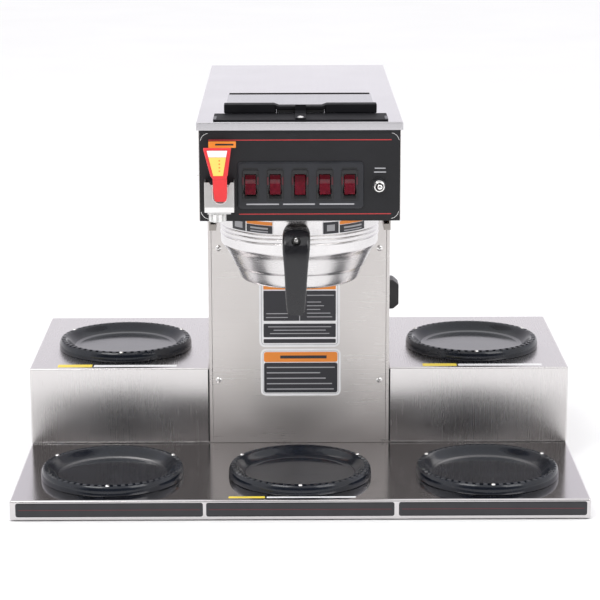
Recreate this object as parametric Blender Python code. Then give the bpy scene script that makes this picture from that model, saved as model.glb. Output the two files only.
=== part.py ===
"""Commercial coffee brewer with a brewing head and five bottle warmers.

Layout: X to the right, Y from front to back, Z up.  Sizes are in millimetres and are turned into
metres when a part is stored.  Y is counted from the front edge of the deck and Z from the
lower edge of its skirt; LAYOUT_SHIFT then moves everything so that the floor is at Z = 0 and
the middle of the machine's depth is at Y = 0.
"""
import bpy
import bmesh
from math import cos, pi, radians, sin
from mathutils import Matrix, Vector

MM = 0.001
GAP = 0.3
WELD = 0.01
ROUND_ANGLE = radians(35)

# Base: one deck in three equal thirds, with a raised step behind each outer third
BASE_WIDTH = 597.0
MODULE_WIDTH = 199.0
BASE_DEPTH = 444.0
DECK_TOP = 20.5
STEP_FRONT = 203.5
STEP_TOP = 106.5
SHEET = 1.0
SHEET_EDGE = 0.3
FOOT_DROP = 1.2
FOOT_RADIUS = 13.0
FOOT_X = 270.0
FOOT_Y_FRONT = 30.0
FOOT_Y_REAR = 414.0
BASE_PLATE_Z = (0.3, 1.3)

# Warmers
WARMER_FRONT_Y = 87.5
WARMER_REAR_Y = 305.0
WARMER_RING_RADIUS = 75.7
WARMER_RING_HEIGHT = 11.0
WARMER_PLATE_RADIUS = 54.0
WARMER_HOLE_RADIUS = 50.0
WARMER_SEGMENTS = 36

# Trunk and head
TRUNK_HALF = MODULE_WIDTH / 2
TRUNK_FRONT = STEP_FRONT
TRUNK_FLANGE = 3.5
HEAD_UNDERSIDE = 314.6
SHELL_TOP = 404.7
HEAD_FRONT = -14.5
PANEL_HALF = 98.75
PANEL_THICKNESS = 2.0
LID_HALF = 101.5
LID_Z = (405.0, 413.0)
LID_Y = (-15.0, 444.6)
LID_WALL = 1.6

# Pour-in opening of the lid
POUR_X = (-74.0, 76.0)
POUR_Y = (0.0, 199.5)
TRAY_REAR = 172.0
TRAY_FLOOR = 385.0
SHELF_X = (-85.0, 87.0)
SHELF_Y = (-8.5, 35.7)
SHELF_TOP = 414.5
FLAP_X = (-74.8, 76.8)
FLAP_Y = (36.0, 176.0)
FLAP_HINGE_Y = 176.6
FLAP_Z = (413.3, 414.5)
LIP_Y = (35.2, 49.0)
LIP_TOP = 423.5

# Control panel fittings
BEZEL_X = (-61.4, 63.0)
BEZEL_Z = (326.9, 374.0)
BEZEL_FRONT = -17.3
ROCKER_X = (-48.6, -24.2, 0.2, 24.6, 49.0)
ROCKER_Z = 351.4
ROCKER_PIVOT_Y = -15.6
ROCKER_WIDTH = 11.3
ROCKER_RADIUS = 10.2
ROCKER_TILT = 8.0
SWITCH_FRAME = (15.6, 30.4)
START_X = 78.0
START_Z = 350.2
START_PIVOT_Y = -19.5
START_TILT = 5.0

# Hot water faucet
FAUCET_X = -77.7
FAUCET_PIVOT_Y = -28.0
FAUCET_PIVOT_Z = 346.0
FAUCET_PIN_RADIUS = 2.1
SHIELD_X = (-93.5, -64.0)
SHIELD_Y = (-36.0, -15.1)
SHIELD_Z = (327.0, 357.0)
SHIELD_WALL = 1.2
SPOUT_X = -80.9
SPOUT_RADIUS = 8.7
SPOUT_Z = (316.8, 325.0)

# Brew funnel and what carries it
FUNNEL_Y = 88.5
FUNNEL_RADIUS = 81.5
FUNNEL_FLANGE_RADIUS = 86.0
FUNNEL_FLANGE_Z = (310.0, 312.4)
FUNNEL_WALL = 1.6
FUNNEL_RIDGE = 0.8
FUNNEL_RIDGES = (285.2, 289.9, 294.1)
FUNNEL_SEGMENTS = 48
RAIL_Y = (-5.0, 182.0)

# Rear fittings
INLET_X = -60.0
GLAND_X = 60.0
FITTING_Z = 60.0
FITTING_REACH = 15.0

FRONT_REACH = -44.0
REAR_REACH = BASE_DEPTH + FITTING_REACH
LAYOUT_SHIFT = Vector((0.0, -(FRONT_REACH + REAR_REACH) / 2, FOOT_DROP))

MATERIALS = {}


# ---------------------------------------------------------------- materials
def make_material(name, colour, roughness, metallic):
    material = bpy.data.materials.new(name)
    material.use_nodes = True
    shader = material.node_tree.nodes["Principled BSDF"]
    shader.inputs["Base Color"].default_value = (*colour, 1.0)
    shader.inputs["Roughness"].default_value = roughness
    shader.inputs["Metallic"].default_value = metallic
    MATERIALS[name] = material


def make_materials():
    make_material("brushed_steel", (0.62, 0.60, 0.59), 0.32, 1.0)
    make_material("lid_steel", (0.68, 0.67, 0.70), 0.38, 1.0)
    make_material("hidden_steel", (0.50, 0.50, 0.50), 0.45, 1.0)
    make_material("polished_steel", (0.80, 0.79, 0.77), 0.12, 1.0)
    make_material("funnel_steel", (0.74, 0.72, 0.70), 0.20, 1.0)
    make_material("black_panel", (0.035, 0.035, 0.040), 0.45, 0.0)
    make_material("black_plastic", (0.020, 0.020, 0.023), 0.35, 0.0)
    make_material("handle_black", (0.018, 0.018, 0.020), 0.28, 0.0)
    make_material("warmer_enamel", (0.015, 0.016, 0.020), 0.15, 0.0)
    make_material("rocker_red", (0.22, 0.015, 0.020), 0.20, 0.0)
    make_material("faucet_red", (0.80, 0.060, 0.055), 0.30, 0.0)
    make_material("faucet_white", (0.80, 0.80, 0.80), 0.35, 0.0)
    make_material("rubber", (0.025, 0.025, 0.025), 0.80, 0.0)
    make_material("brass", (0.70, 0.52, 0.25), 0.30, 1.0)
    make_material("heater_sheath", (0.33, 0.31, 0.29), 0.45, 1.0)


# ---------------------------------------------------------------- building tools
def clear_scene():
    for obj in list(bpy.data.objects):
        bpy.data.objects.remove(obj, do_unlink=True)


def store(name, bm, material=None, pivot=(0.0, 0.0, 0.0), round_part=False):
    """Turn a layout mesh in millimetres into an object whose origin is at pivot."""
    bmesh.ops.remove_doubles(bm, verts=bm.verts, dist=WELD)
    bmesh.ops.recalc_face_normals(bm, faces=bm.faces)
    bmesh.ops.translate(bm, vec=-Vector(pivot), verts=bm.verts)
    bmesh.ops.scale(bm, vec=(MM, MM, MM), verts=bm.verts)
    mesh = bpy.data.meshes.new(name)
    bm.to_mesh(mesh)
    bm.free()
    if round_part:
        mesh.shade_smooth()
        mesh.set_sharp_from_angle(angle=ROUND_ANGLE)
    obj = bpy.data.objects.new(name, mesh)
    obj.location = (Vector(pivot) + LAYOUT_SHIFT) * MM
    bpy.context.scene.collection.objects.link(obj)
    if material:
        mesh.materials.append(MATERIALS[material])
    else:
        obj.hide_render = True
        obj.display_type = "WIRE"
    return obj


def combine(target, tool, operation):
    """Join a hidden tool body to a part, or cut it out of the part."""
    modifier = target.modifiers.new(tool.name, "BOOLEAN")
    modifier.operation = operation
    modifier.solver = "EXACT"
    modifier.object = tool


def add_box(bm, x, y, z):
    """Add a box from its low and high values along each axis."""
    size = Vector((x[1] - x[0], y[1] - y[0], z[1] - z[0]))
    middle = Vector((x[0] + x[1], y[0] + y[1], z[0] + z[1])) / 2
    matrix = Matrix.Translation(middle) @ Matrix.Diagonal((*size, 1.0))
    bmesh.ops.create_cube(bm, size=1.0, matrix=matrix)


def add_prism(bm, outline, axis, span):
    """Extrude a closed outline along X, Y or Z; it is drawn in the other two axes, in order."""
    index = "XYZ".index(axis)
    corners = []
    for point in outline:
        values = list(point)
        values.insert(index, span[0])
        corners.append(bm.verts.new(values))
    face = bm.faces.new(corners)
    swept = bmesh.ops.extrude_face_region(bm, geom=[face])
    moved = [item for item in swept["geom"] if isinstance(item, bmesh.types.BMVert)]
    offset = Vector((0.0, 0.0, 0.0))
    offset[index] = span[1] - span[0]
    bmesh.ops.translate(bm, vec=offset, verts=moved)


def add_lathe(bm, profile, centre, segments, axis="Z", closed=False):
    """Spin (radius, height) points about an axis; an open profile starts and ends on it."""
    index = "XYZ".index(axis)
    direction = Vector((0.0, 0.0, 0.0))
    direction[index] = 1.0
    sideways = Vector((1.0, 0.0, 0.0)) if axis != "X" else Vector((0.0, 0.0, 1.0))
    centre = Vector(centre)
    verts = [bm.verts.new(centre + sideways * r + direction * h) for r, h in profile]
    edges = [bm.edges.new(pair) for pair in zip(verts, verts[1:])]
    if closed:
        edges.append(bm.edges.new((verts[-1], verts[0])))
    bmesh.ops.spin(bm, geom=verts + edges, cent=centre, axis=direction, angle=2 * pi,
                   steps=segments, use_merge=True, use_duplicate=False)
    bmesh.ops.remove_doubles(bm, verts=bm.verts, dist=WELD)


def add_loft(bm, rings):
    """Bridge closed rings of points in order and cap both ends."""
    loops = [[bm.verts.new(point) for point in ring] for ring in rings]
    count = len(loops[0])
    for low, high in zip(loops, loops[1:]):
        for i in range(count):
            j = (i + 1) % count
            bm.faces.new((low[i], low[j], high[j], high[i]))
    bm.faces.new(loops[0])
    bm.faces.new(loops[-1])


def add_open_box(bm, x, y, z, wall, open_side):
    """Add a thin-walled box that lacks its top or its bottom."""
    inner_x = (x[0] + wall, x[1] - wall)
    inner_y = (y[0] + wall, y[1] - wall)
    closed_z, rim_z = (z[1], z[0]) if open_side == "bottom" else (z[0], z[1])
    inner_z = closed_z - wall if open_side == "bottom" else closed_z + wall

    def ring(xs, ys, height):
        spots = ((xs[0], ys[0]), (xs[1], ys[0]), (xs[1], ys[1]), (xs[0], ys[1]))
        return [(a, b, height) for a, b in spots]

    add_loft(bm, [ring(x, y, closed_z), ring(x, y, rim_z),
                  ring(inner_x, inner_y, rim_z), ring(inner_x, inner_y, inner_z)])


def bevel_convex(bm, width, segments=1, steeper_than=60.0):
    """Round the outward edges of a mesh."""
    bmesh.ops.recalc_face_normals(bm, faces=bm.faces)
    edges = [e for e in bm.edges
             if len(e.link_faces) == 2 and e.is_convex and e.calc_face_angle() > radians(steeper_than)]
    bmesh.ops.bevel(bm, geom=edges, offset=width, segments=segments, profile=0.5, affect="EDGES")


def rounded_rectangle(width, height, radius, per_corner=3):
    """Corner points of a rectangle with rounded corners, counter-clockwise about its middle."""
    points = []
    corners = ((1, 1, 0), (-1, 1, 90), (-1, -1, 180), (1, -1, 270))
    for side_a, side_b, start in corners:
        for step in range(per_corner):
            angle = radians(start + 90 * step / (per_corner - 1))
            points.append((side_a * (width / 2 - radius) + radius * cos(angle),
                           side_b * (height / 2 - radius) + radius * sin(angle)))
    return points


def arc(centre, radius, start, end, steps):
    """Points along an arc, angles in degrees from the first drawing axis."""
    points = []
    for step in range(steps + 1):
        angle = radians(start + (end - start) * step / steps)
        points.append((centre[0] + radius * cos(angle), centre[1] + radius * sin(angle)))
    return points


def cutter(name, build):
    bm = bmesh.new()
    build(bm)
    return store(name, bm)


def box_part(name, material, x, y, z, edge=0.0):
    bm = bmesh.new()
    add_box(bm, x, y, z)
    if edge:
        bevel_convex(bm, edge)
    return store(name, bm, material)


# ---------------------------------------------------------------- base
def warmer_spots():
    return (("center", 0.0, WARMER_FRONT_Y, DECK_TOP),
            ("front_left", -MODULE_WIDTH, WARMER_FRONT_Y, DECK_TOP),
            ("front_right", MODULE_WIDTH, WARMER_FRONT_Y, DECK_TOP),
            ("rear_left", -MODULE_WIDTH, WARMER_REAR_Y, STEP_TOP),
            ("rear_right", MODULE_WIDTH, WARMER_REAR_Y, STEP_TOP))


def cut_warmer_hole(target, x, y, top):
    def build(bm):
        profile = ((0.0, -6.0), (WARMER_HOLE_RADIUS, -6.0), (WARMER_HOLE_RADIUS, 6.0), (0.0, 6.0))
        add_lathe(bm, profile, (x, y, top), WARMER_SEGMENTS)
    combine(target, cutter(target.name + "_hole_tool", build), "DIFFERENCE")


def make_base_deck():
    """One folded sheet over the whole base, open below, with a hole under each front warmer."""
    half = BASE_WIDTH / 2
    bm = bmesh.new()
    add_open_box(bm, (-half, half), (0.0, BASE_DEPTH), (0.0, DECK_TOP), SHEET, "bottom")
    bevel_convex(bm, SHEET_EDGE)
    deck = store("base_deck", bm, "brushed_steel")
    for x in (-MODULE_WIDTH, 0.0, MODULE_WIDTH):
        cut_warmer_hole(deck, x, WARMER_FRONT_Y, DECK_TOP)


def make_step_box(name, side):
    near = side * (TRUNK_HALF + GAP)
    far = side * BASE_WIDTH / 2
    bm = bmesh.new()
    add_open_box(bm, sorted((near, far)), (STEP_FRONT, BASE_DEPTH), (DECK_TOP + GAP, STEP_TOP),
                 SHEET, "bottom")
    bevel_convex(bm, SHEET_EDGE)
    step = store(name, bm, "brushed_steel")
    cut_warmer_hole(step, side * MODULE_WIDTH, WARMER_REAR_Y, STEP_TOP)


def make_base():
    make_base_deck()
    make_step_box("left_step_box", -1)
    make_step_box("right_step_box", 1)
    inset = SHEET + GAP
    box_part("base_plate", "hidden_steel", (inset - BASE_WIDTH / 2, BASE_WIDTH / 2 - inset),
             (inset, BASE_DEPTH - inset), BASE_PLATE_Z)
    feet = (("foot_front_left", -FOOT_X, FOOT_Y_FRONT), ("foot_front_right", FOOT_X, FOOT_Y_FRONT),
            ("foot_rear_left", -FOOT_X, FOOT_Y_REAR), ("foot_rear_right", FOOT_X, FOOT_Y_REAR))
    for name, x, y in feet:
        bm = bmesh.new()
        profile = ((0.0, -FOOT_DROP), (FOOT_RADIUS - 0.8, -FOOT_DROP), (FOOT_RADIUS, -FOOT_DROP + 0.8),
                   (FOOT_RADIUS, 0.0), (0.0, 0.0))
        add_lathe(bm, profile, (x, y, 0.0), 24)
        store(name, bm, "rubber", round_part=True)


# ---------------------------------------------------------------- warmers
def make_warmers():
    outer = WARMER_RING_RADIUS
    top = WARMER_RING_HEIGHT
    bore = WARMER_PLATE_RADIUS + GAP
    ring_profile = ((bore, GAP), (outer, GAP), (outer - 0.4, 6.5), (outer - 1.6, 9.8),
                    (outer - 3.0, top), (68.6, top), (67.2, top - 0.8), (61.5, 5.2), (57.0, 2.8), (bore, 2.2))
    plate_profile = ((0.0, 1.9), (WARMER_PLATE_RADIUS, 1.9), (WARMER_PLATE_RADIUS, GAP),
                     (WARMER_HOLE_RADIUS - GAP, GAP), (WARMER_HOLE_RADIUS - GAP, -1.4), (0.0, -1.4))
    element_profile = ((30.0, -7.5), (46.0, -7.5), (46.0, -1.4 - GAP), (30.0, -1.4 - GAP))
    for spot, x, y, z in warmer_spots():
        bm = bmesh.new()
        add_lathe(bm, ring_profile, (x, y, z), WARMER_SEGMENTS, closed=True)
        store("warmer_ring_" + spot, bm, "warmer_enamel", round_part=True)
        bm = bmesh.new()
        add_lathe(bm, plate_profile, (x, y, z), WARMER_SEGMENTS)
        store("warmer_plate_" + spot, bm, "warmer_enamel", round_part=True)
        bm = bmesh.new()
        add_lathe(bm, element_profile, (x, y, z), WARMER_SEGMENTS // 2, closed=True)
        store("warmer_element_" + spot, bm, "heater_sheath", round_part=True)


# ---------------------------------------------------------------- trunk and head shell
def make_side_panel(name, side):
    """One L-shaped sheet: trunk side and head side, with a narrow return flange on the trunk's front."""
    outline = ((TRUNK_FRONT, DECK_TOP + GAP), (BASE_DEPTH, DECK_TOP + GAP), (BASE_DEPTH, SHELL_TOP),
               (HEAD_FRONT + PANEL_THICKNESS + GAP, SHELL_TOP),
               (HEAD_FRONT + PANEL_THICKNESS + GAP, HEAD_UNDERSIDE), (TRUNK_FRONT, HEAD_UNDERSIDE))
    bm = bmesh.new()
    add_prism(bm, outline, "X", sorted((side * TRUNK_HALF, side * (TRUNK_HALF - SHEET))))
    panel = store(name, bm, "brushed_steel")

    def flange(tool):
        add_box(tool, sorted((side * TRUNK_HALF, side * (TRUNK_HALF - TRUNK_FLANGE))),
                (TRUNK_FRONT, TRUNK_FRONT + SHEET), (DECK_TOP + GAP, HEAD_UNDERSIDE - GAP))
    combine(panel, cutter(name + "_flange_tool", flange), "UNION")


def make_rear_panel():
    half = TRUNK_HALF - SHEET - GAP
    panel = box_part("rear_panel", "brushed_steel", (-half, half), (BASE_DEPTH - SHEET, BASE_DEPTH),
                     (DECK_TOP + GAP, SHELL_TOP))

    def holes(tool):
        for x, radius in ((INLET_X, 7.0), (GLAND_X, 9.0)):
            profile = ((0.0, -6.0), (radius, -6.0), (radius, 6.0), (0.0, 6.0))
            add_lathe(tool, profile, (x, BASE_DEPTH, FITTING_Z), 24, axis="Y")
    combine(panel, cutter("rear_panel_hole_tool", holes), "DIFFERENCE")


def make_hood_floor():
    half = TRUNK_HALF - SHEET - GAP
    floor = box_part("hood_floor", "brushed_steel", (-half, half),
                     (HEAD_FRONT + PANEL_THICKNESS + GAP, TRUNK_FRONT - GAP),
                     (HEAD_UNDERSIDE, HEAD_UNDERSIDE + SHEET))

    def hole(tool):
        add_lathe(tool, ((0.0, -6.0), (8.4, -6.0), (8.4, 6.0), (0.0, 6.0)),
                  (0.0, FUNNEL_Y, HEAD_UNDERSIDE), 24)
    combine(floor, cutter("hood_floor_hole_tool", hole), "DIFFERENCE")


def make_top_cover():
    bm = bmesh.new()
    add_open_box(bm, (-LID_HALF, LID_HALF), LID_Y, LID_Z, LID_WALL, "bottom")
    bevel_convex(bm, SHEET_EDGE)
    lid = store("top_cover", bm, "lid_steel")

    def opening(tool):
        add_box(tool, POUR_X, POUR_Y, (LID_Z[1] - 5.0, LID_Z[1] + 5.0))
    combine(lid, cutter("top_cover_opening_tool", opening), "DIFFERENCE")


def make_control_panel():
    panel = box_part("control_panel", "black_panel", (-PANEL_HALF, PANEL_HALF),
                     (HEAD_FRONT, HEAD_FRONT + PANEL_THICKNESS), (HEAD_UNDERSIDE, SHELL_TOP), edge=SHEET_EDGE)

    def holes(tool):
        block = switch_block()
        add_box(tool, (block[0][0] - 0.4, block[0][1] + 0.4), (HEAD_FRONT - 3.0, HEAD_FRONT + 6.0),
                (block[1][0] - 0.4, block[1][1] + 0.4))
        for x, z, radius in ((START_X, START_Z, 6.2), (FAUCET_X, 336.0, 7.0)):
            profile = ((0.0, -4.0), (radius, -4.0), (radius, 6.0), (0.0, 6.0))
            add_lathe(tool, profile, (x, HEAD_FRONT, z), 24, axis="Y")
    combine(panel, cutter("control_panel_hole_tool", holes), "DIFFERENCE")


def make_shell():
    make_side_panel("side_panel_left", -1)
    make_side_panel("side_panel_right", 1)
    cover_half = TRUNK_HALF - TRUNK_FLANGE - GAP
    box_part("trunk_front_cover", "brushed_steel", (-cover_half, cover_half),
             (TRUNK_FRONT, TRUNK_FRONT + SHEET), (DECK_TOP + GAP, HEAD_UNDERSIDE - GAP))
    make_rear_panel()
    make_hood_floor()
    make_top_cover()
    make_control_panel()


# ---------------------------------------------------------------- switches
def switch_block():
    """X and Z spans of the block behind the bezel that holds the five switches."""
    margin_x = ROCKER_WIDTH / 2 + 4.0
    margin_z = ROCKER_RADIUS + 5.0
    return ((ROCKER_X[0] - margin_x, ROCKER_X[-1] + margin_x), (ROCKER_Z - margin_z, ROCKER_Z + margin_z))


def make_switch_bezel():
    panel_face = HEAD_FRONT - GAP
    middle_x = sum(BEZEL_X) / 2
    middle_z = sum(BEZEL_Z) / 2
    outline = [(middle_x + a, middle_z + b) for a, b in
               rounded_rectangle(BEZEL_X[1] - BEZEL_X[0], BEZEL_Z[1] - BEZEL_Z[0], 5.0, 4)]
    bm = bmesh.new()
    add_prism(bm, outline, "Y", (BEZEL_FRONT, panel_face))
    bezel = store("switch_bezel", bm, "black_plastic")

    def block(tool):
        spans = switch_block()
        add_box(tool, spans[0], (BEZEL_FRONT + 1.0, 8.0), spans[1])

    def frames(tool):
        for x in ROCKER_X:
            add_box(tool, (x - SWITCH_FRAME[0] / 2, x + SWITCH_FRAME[0] / 2),
                    (BEZEL_FRONT - 0.8, BEZEL_FRONT + 0.5),
                    (ROCKER_Z - SWITCH_FRAME[1] / 2, ROCKER_Z + SWITCH_FRAME[1] / 2))

    def pockets(tool):
        half_width = ROCKER_WIDTH / 2 + GAP
        half_height = ROCKER_RADIUS + GAP
        for x in ROCKER_X:
            add_box(tool, (x - half_width, x + half_width), (BEZEL_FRONT - 5.0, ROCKER_PIVOT_Y + 7.6),
                    (ROCKER_Z - half_height, ROCKER_Z + half_height))
    combine(bezel, cutter("switch_block_tool", block), "UNION")
    combine(bezel, cutter("switch_frame_tool", frames), "UNION")
    combine(bezel, cutter("switch_pocket_tool", pockets), "DIFFERENCE")


def rocker_outline():
    """Side view of a level rocker about its pivot: concave front, rounded ends, tapered back."""
    points = []
    for angle in (114.0, 106.0, 98.0, 90.0, 82.0, 76.0):
        points.append((ROCKER_RADIUS * cos(radians(angle)), ROCKER_RADIUS * sin(radians(angle))))
    points += [(5.2, 3.0), (5.2, -3.0)]
    for angle in (-76.0, -82.0, -90.0, -98.0, -106.0, -114.0):
        points.append((ROCKER_RADIUS * cos(radians(angle)), ROCKER_RADIUS * sin(radians(angle))))
    points += [(-3.0, -5.6), (-2.3, -1.9), (-2.3, 1.9), (-3.0, 5.6)]
    return points


def make_rockers():
    """The third rocker is pressed at its lower end, the others at their upper end."""
    for number, x in enumerate(ROCKER_X, start=1):
        tilt = radians(ROCKER_TILT if number == 3 else -ROCKER_TILT)
        outline = []
        for y, z in rocker_outline():
            outline.append((ROCKER_PIVOT_Y + y * cos(tilt) - z * sin(tilt),
                            ROCKER_Z + y * sin(tilt) + z * cos(tilt)))
        bm = bmesh.new()
        add_prism(bm, outline, "X", (x - ROCKER_WIDTH / 2, x + ROCKER_WIDTH / 2))
        store("rocker_%d" % number, bm, "rocker_red", pivot=(x, ROCKER_PIVOT_Y, ROCKER_Z))


def make_start_switch():
    face = HEAD_FRONT - GAP
    profile = ((0.0, -16.0), (3.0, -16.0), (3.9, -25.0), (5.4, -25.0), (5.4, face - 2.5),
               (6.9, face - 2.5), (6.9, face), (5.8, face), (5.8, 12.0), (0.0, 12.0))
    bm = bmesh.new()
    add_lathe(bm, profile, (START_X, 0.0, START_Z), 32, axis="Y")
    store("start_switch_body", bm, "polished_steel", round_part=True)

    lever = ((0.0, 2.2), (1.5, 1.6), (2.2, 0.0), (1.5, -1.7), (1.5, -3.5), (1.9, -8.0), (2.7, -12.0),
             (2.8, -13.2), (2.2, -14.5), (0.0, -15.0))
    pivot = Vector((START_X, START_PIVOT_Y, START_Z))
    bm = bmesh.new()
    add_lathe(bm, lever, pivot, 20, axis="Y")
    bmesh.ops.rotate(bm, verts=bm.verts, cent=pivot, matrix=Matrix.Rotation(radians(-START_TILT), 3, "X"))
    store("start_toggle", bm, "polished_steel", pivot=pivot, round_part=True)


# ---------------------------------------------------------------- faucet
def make_faucet_body():
    bm = bmesh.new()
    add_box(bm, (-90.5, -67.5), (SHIELD_Y[0] + SHIELD_WALL + GAP, SHIELD_Y[1]), (SPOUT_Z[1] + GAP, 351.0))
    body = store("faucet_body", bm, "faucet_white")

    def shank(tool):
        profile = ((0.0, -6.0), (6.5, -6.0), (6.5, 22.0), (0.0, 22.0))
        add_lathe(tool, profile, (FAUCET_X, SHIELD_Y[1], 336.0), 24, axis="Y")

    def slot(tool):
        add_box(tool, (FAUCET_X - 6.9, FAUCET_X + 6.9), (-45.0, -19.0), (336.0, 360.0))

    def bores(tool):
        profile = ((0.0, -20.0), (FAUCET_PIN_RADIUS + 0.25, -20.0), (FAUCET_PIN_RADIUS + 0.25, 20.0), (0.0, 20.0))
        add_lathe(tool, profile, (FAUCET_X, FAUCET_PIVOT_Y, FAUCET_PIVOT_Z), 20, axis="X")

    def stem_bore(tool):
        profile = ((0.0, 0.0), (2.0, 0.0), (2.0, 12.0), (0.0, 12.0))
        add_lathe(tool, profile, (FAUCET_X, FAUCET_PIVOT_Y + 6.0, 327.5), 16)
    combine(body, cutter("faucet_shank_tool", shank), "UNION")
    combine(body, cutter("faucet_slot_tool", slot), "DIFFERENCE")
    combine(body, cutter("faucet_bore_tool", bores), "DIFFERENCE")
    combine(body, cutter("faucet_stem_bore_tool", stem_bore), "DIFFERENCE")


def make_faucet_shield():
    """A folded sheet: front plate with a round-ended slot, and a flange down each side."""
    low, high = SHIELD_X
    front = SHIELD_Y[0]
    outline = ((low, front), (high, front), (high, SHIELD_Y[1]), (high - SHIELD_WALL, SHIELD_Y[1]),
               (high - SHIELD_WALL, front + SHIELD_WALL), (low + SHIELD_WALL, front + SHIELD_WALL),
               (low + SHIELD_WALL, SHIELD_Y[1]), (low, SHIELD_Y[1]))
    bm = bmesh.new()
    add_prism(bm, outline, "Z", SHIELD_Z)
    shield = store("faucet_shield", bm, "polished_steel")

    def slot(tool):
        rounded = arc((FAUCET_X - 0.3, 343.0), 7.8, 180.0, 360.0, 12)
        add_prism(tool, rounded + [(FAUCET_X + 7.5, 365.0), (FAUCET_X - 8.1, 365.0)], "Y", (-40.0, -30.0))
    combine(shield, cutter("faucet_shield_slot_tool", slot), "DIFFERENCE")


def make_faucet_handle():
    """Paddle, arm in front of the shield, neck through its slot, pivot pins and lifting heel."""
    paddle = ((-93.9, 391.9), (-87.3, 362.8), (-70.4, 362.8), (-66.6, 391.9))
    arm = ((-87.3, 363.5), (-86.2, 354.0), (-84.1, 341.0), (-82.6, 339.2), (-72.6, 339.2), (-71.1, 341.0),
           (-70.6, 354.0), (-70.4, 363.5))
    bm = bmesh.new()
    add_prism(bm, paddle, "Y", (FRONT_REACH, -39.5))
    bevel_convex(bm, 1.0, steeper_than=40.0)
    pivot = (FAUCET_X, FAUCET_PIVOT_Y, FAUCET_PIVOT_Z)
    handle = store("faucet_handle", bm, "faucet_red", pivot=pivot)

    def arm_plate(tool):
        add_prism(tool, arm, "Y", (FRONT_REACH + 0.4, -41.0))

    def neck(tool):
        add_box(tool, (FAUCET_X - 5.8, FAUCET_X + 5.8), (-42.0, -25.0), (343.5, 354.0))

    def pins(tool):
        profile = ((0.0, -11.0), (FAUCET_PIN_RADIUS, -11.0), (FAUCET_PIN_RADIUS, 11.0), (0.0, 11.0))
        add_lathe(tool, profile, pivot, 20, axis="X")

    def heel(tool):
        add_box(tool, (FAUCET_X - 2.3, FAUCET_X + 2.3), (-26.0, -20.5), (344.8, 347.2))
    combine(handle, cutter("faucet_arm_tool", arm_plate), "UNION")
    combine(handle, cutter("faucet_neck_tool", neck), "UNION")
    combine(handle, cutter("faucet_pin_tool", pins), "UNION")
    combine(handle, cutter("faucet_heel_tool", heel), "UNION")


def make_faucet_spout():
    """A fluted tube hanging below the faucet body."""
    ribs = 12
    outline = []
    for rib in range(ribs):
        for share, radius in ((0.0, SPOUT_RADIUS), (0.55, SPOUT_RADIUS), (0.62, SPOUT_RADIUS - 1.4),
                              (0.93, SPOUT_RADIUS - 1.4)):
            angle = 2 * pi * (rib + share) / ribs
            outline.append((SPOUT_X + radius * cos(angle), FAUCET_PIVOT_Y + 1.0 + radius * sin(angle)))
    bm = bmesh.new()
    add_prism(bm, outline, "Z", SPOUT_Z)
    spout = store("faucet_spout", bm, "faucet_white")

    def bore(tool):
        profile = ((0.0, -4.0), (2.7, -4.0), (2.7, 14.0), (0.0, 14.0))
        add_lathe(tool, profile, (SPOUT_X, FAUCET_PIVOT_Y + 1.0, SPOUT_Z[0]), 20)
    combine(spout, cutter("faucet_spout_bore_tool", bore), "DIFFERENCE")


def make_faucet():
    make_faucet_body()
    make_faucet_shield()
    make_faucet_handle()
    make_faucet_spout()
    stem_spot = (FAUCET_X, FAUCET_PIVOT_Y + 6.0, 0.0)
    profile = ((0.0, 328.0), (1.6, 328.0), (1.6, 343.6), (0.9, 344.5), (0.0, 344.5))
    bm = bmesh.new()
    add_lathe(bm, profile, stem_spot, 16)
    store("faucet_stem", bm, "polished_steel", pivot=(stem_spot[0], stem_spot[1], 336.0), round_part=True)


# ---------------------------------------------------------------- funnel
def make_funnel_rails():
    """Channel rails under the head, open towards each other; the funnel's flange slides in them."""
    outline = ((90.2, 303.2), (90.2, 314.3), (83.4, 314.3), (83.4, 312.8), (88.7, 312.8), (88.7, 309.7),
               (83.4, 309.7), (83.4, 303.2))
    for name, side in (("funnel_rail_left", -1), ("funnel_rail_right", 1)):
        bm = bmesh.new()
        add_prism(bm, [(side * x, z) for x, z in outline], "Y", RAIL_Y)
        store(name, bm, "brushed_steel")


def make_spray_head():
    profile = ((0.0, 312.7), (34.0, 312.7), (35.5, 313.1), (35.5, 313.9), (8.0, 314.2), (8.0, 330.0),
               (0.0, 330.0))
    bm = bmesh.new()
    add_lathe(bm, profile, (0.0, FUNNEL_Y, 0.0), 36)
    store("spray_head", bm, "black_plastic", round_part=True)


def make_brew_funnel():
    flange_low, flange_high = FUNNEL_FLANGE_Z
    radius = FUNNEL_RADIUS
    wall = FUNNEL_WALL
    ridge = FUNNEL_RIDGE
    outside = [(2.7, 234.2), (40.0, 234.4), (54.0, 235.0), (58.6, 236.0), (60.6, 237.8), (62.4, 241.4),
               (64.6, 246.6), (66.2, 250.2), (67.6, 251.6), (70.3, 257.2), (74.9, 266.4), (77.6, 270.4),
               (79.9, 273.2), (radius, 276.2)]
    for height in FUNNEL_RIDGES:
        outside += [(radius, height - 0.9), (radius + ridge, height), (radius, height + 0.9)]
    outside += [(radius, flange_low), (FUNNEL_FLANGE_RADIUS, flange_low), (FUNNEL_FLANGE_RADIUS, flange_high)]
    inside = [(radius - wall, flange_high), (radius - wall, 276.8), (78.1, 274.2), (75.6, 271.4),
              (72.9, 267.0), (68.4, 257.8), (65.5, 252.4), (62.8, 247.2), (60.6, 242.2), (58.4, 239.0),
              (55.8, 237.4), (53.4, 236.6), (40.0, 236.0), (2.7, 235.8)]
    pivot = (0.0, FUNNEL_Y, flange_low)
    profile = [(r, z - flange_low) for r, z in outside + inside]
    bm = bmesh.new()
    add_lathe(bm, profile, pivot, FUNNEL_SEGMENTS, closed=True)
    store("brew_funnel", bm, "funnel_steel", pivot=pivot, round_part=True)


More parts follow.
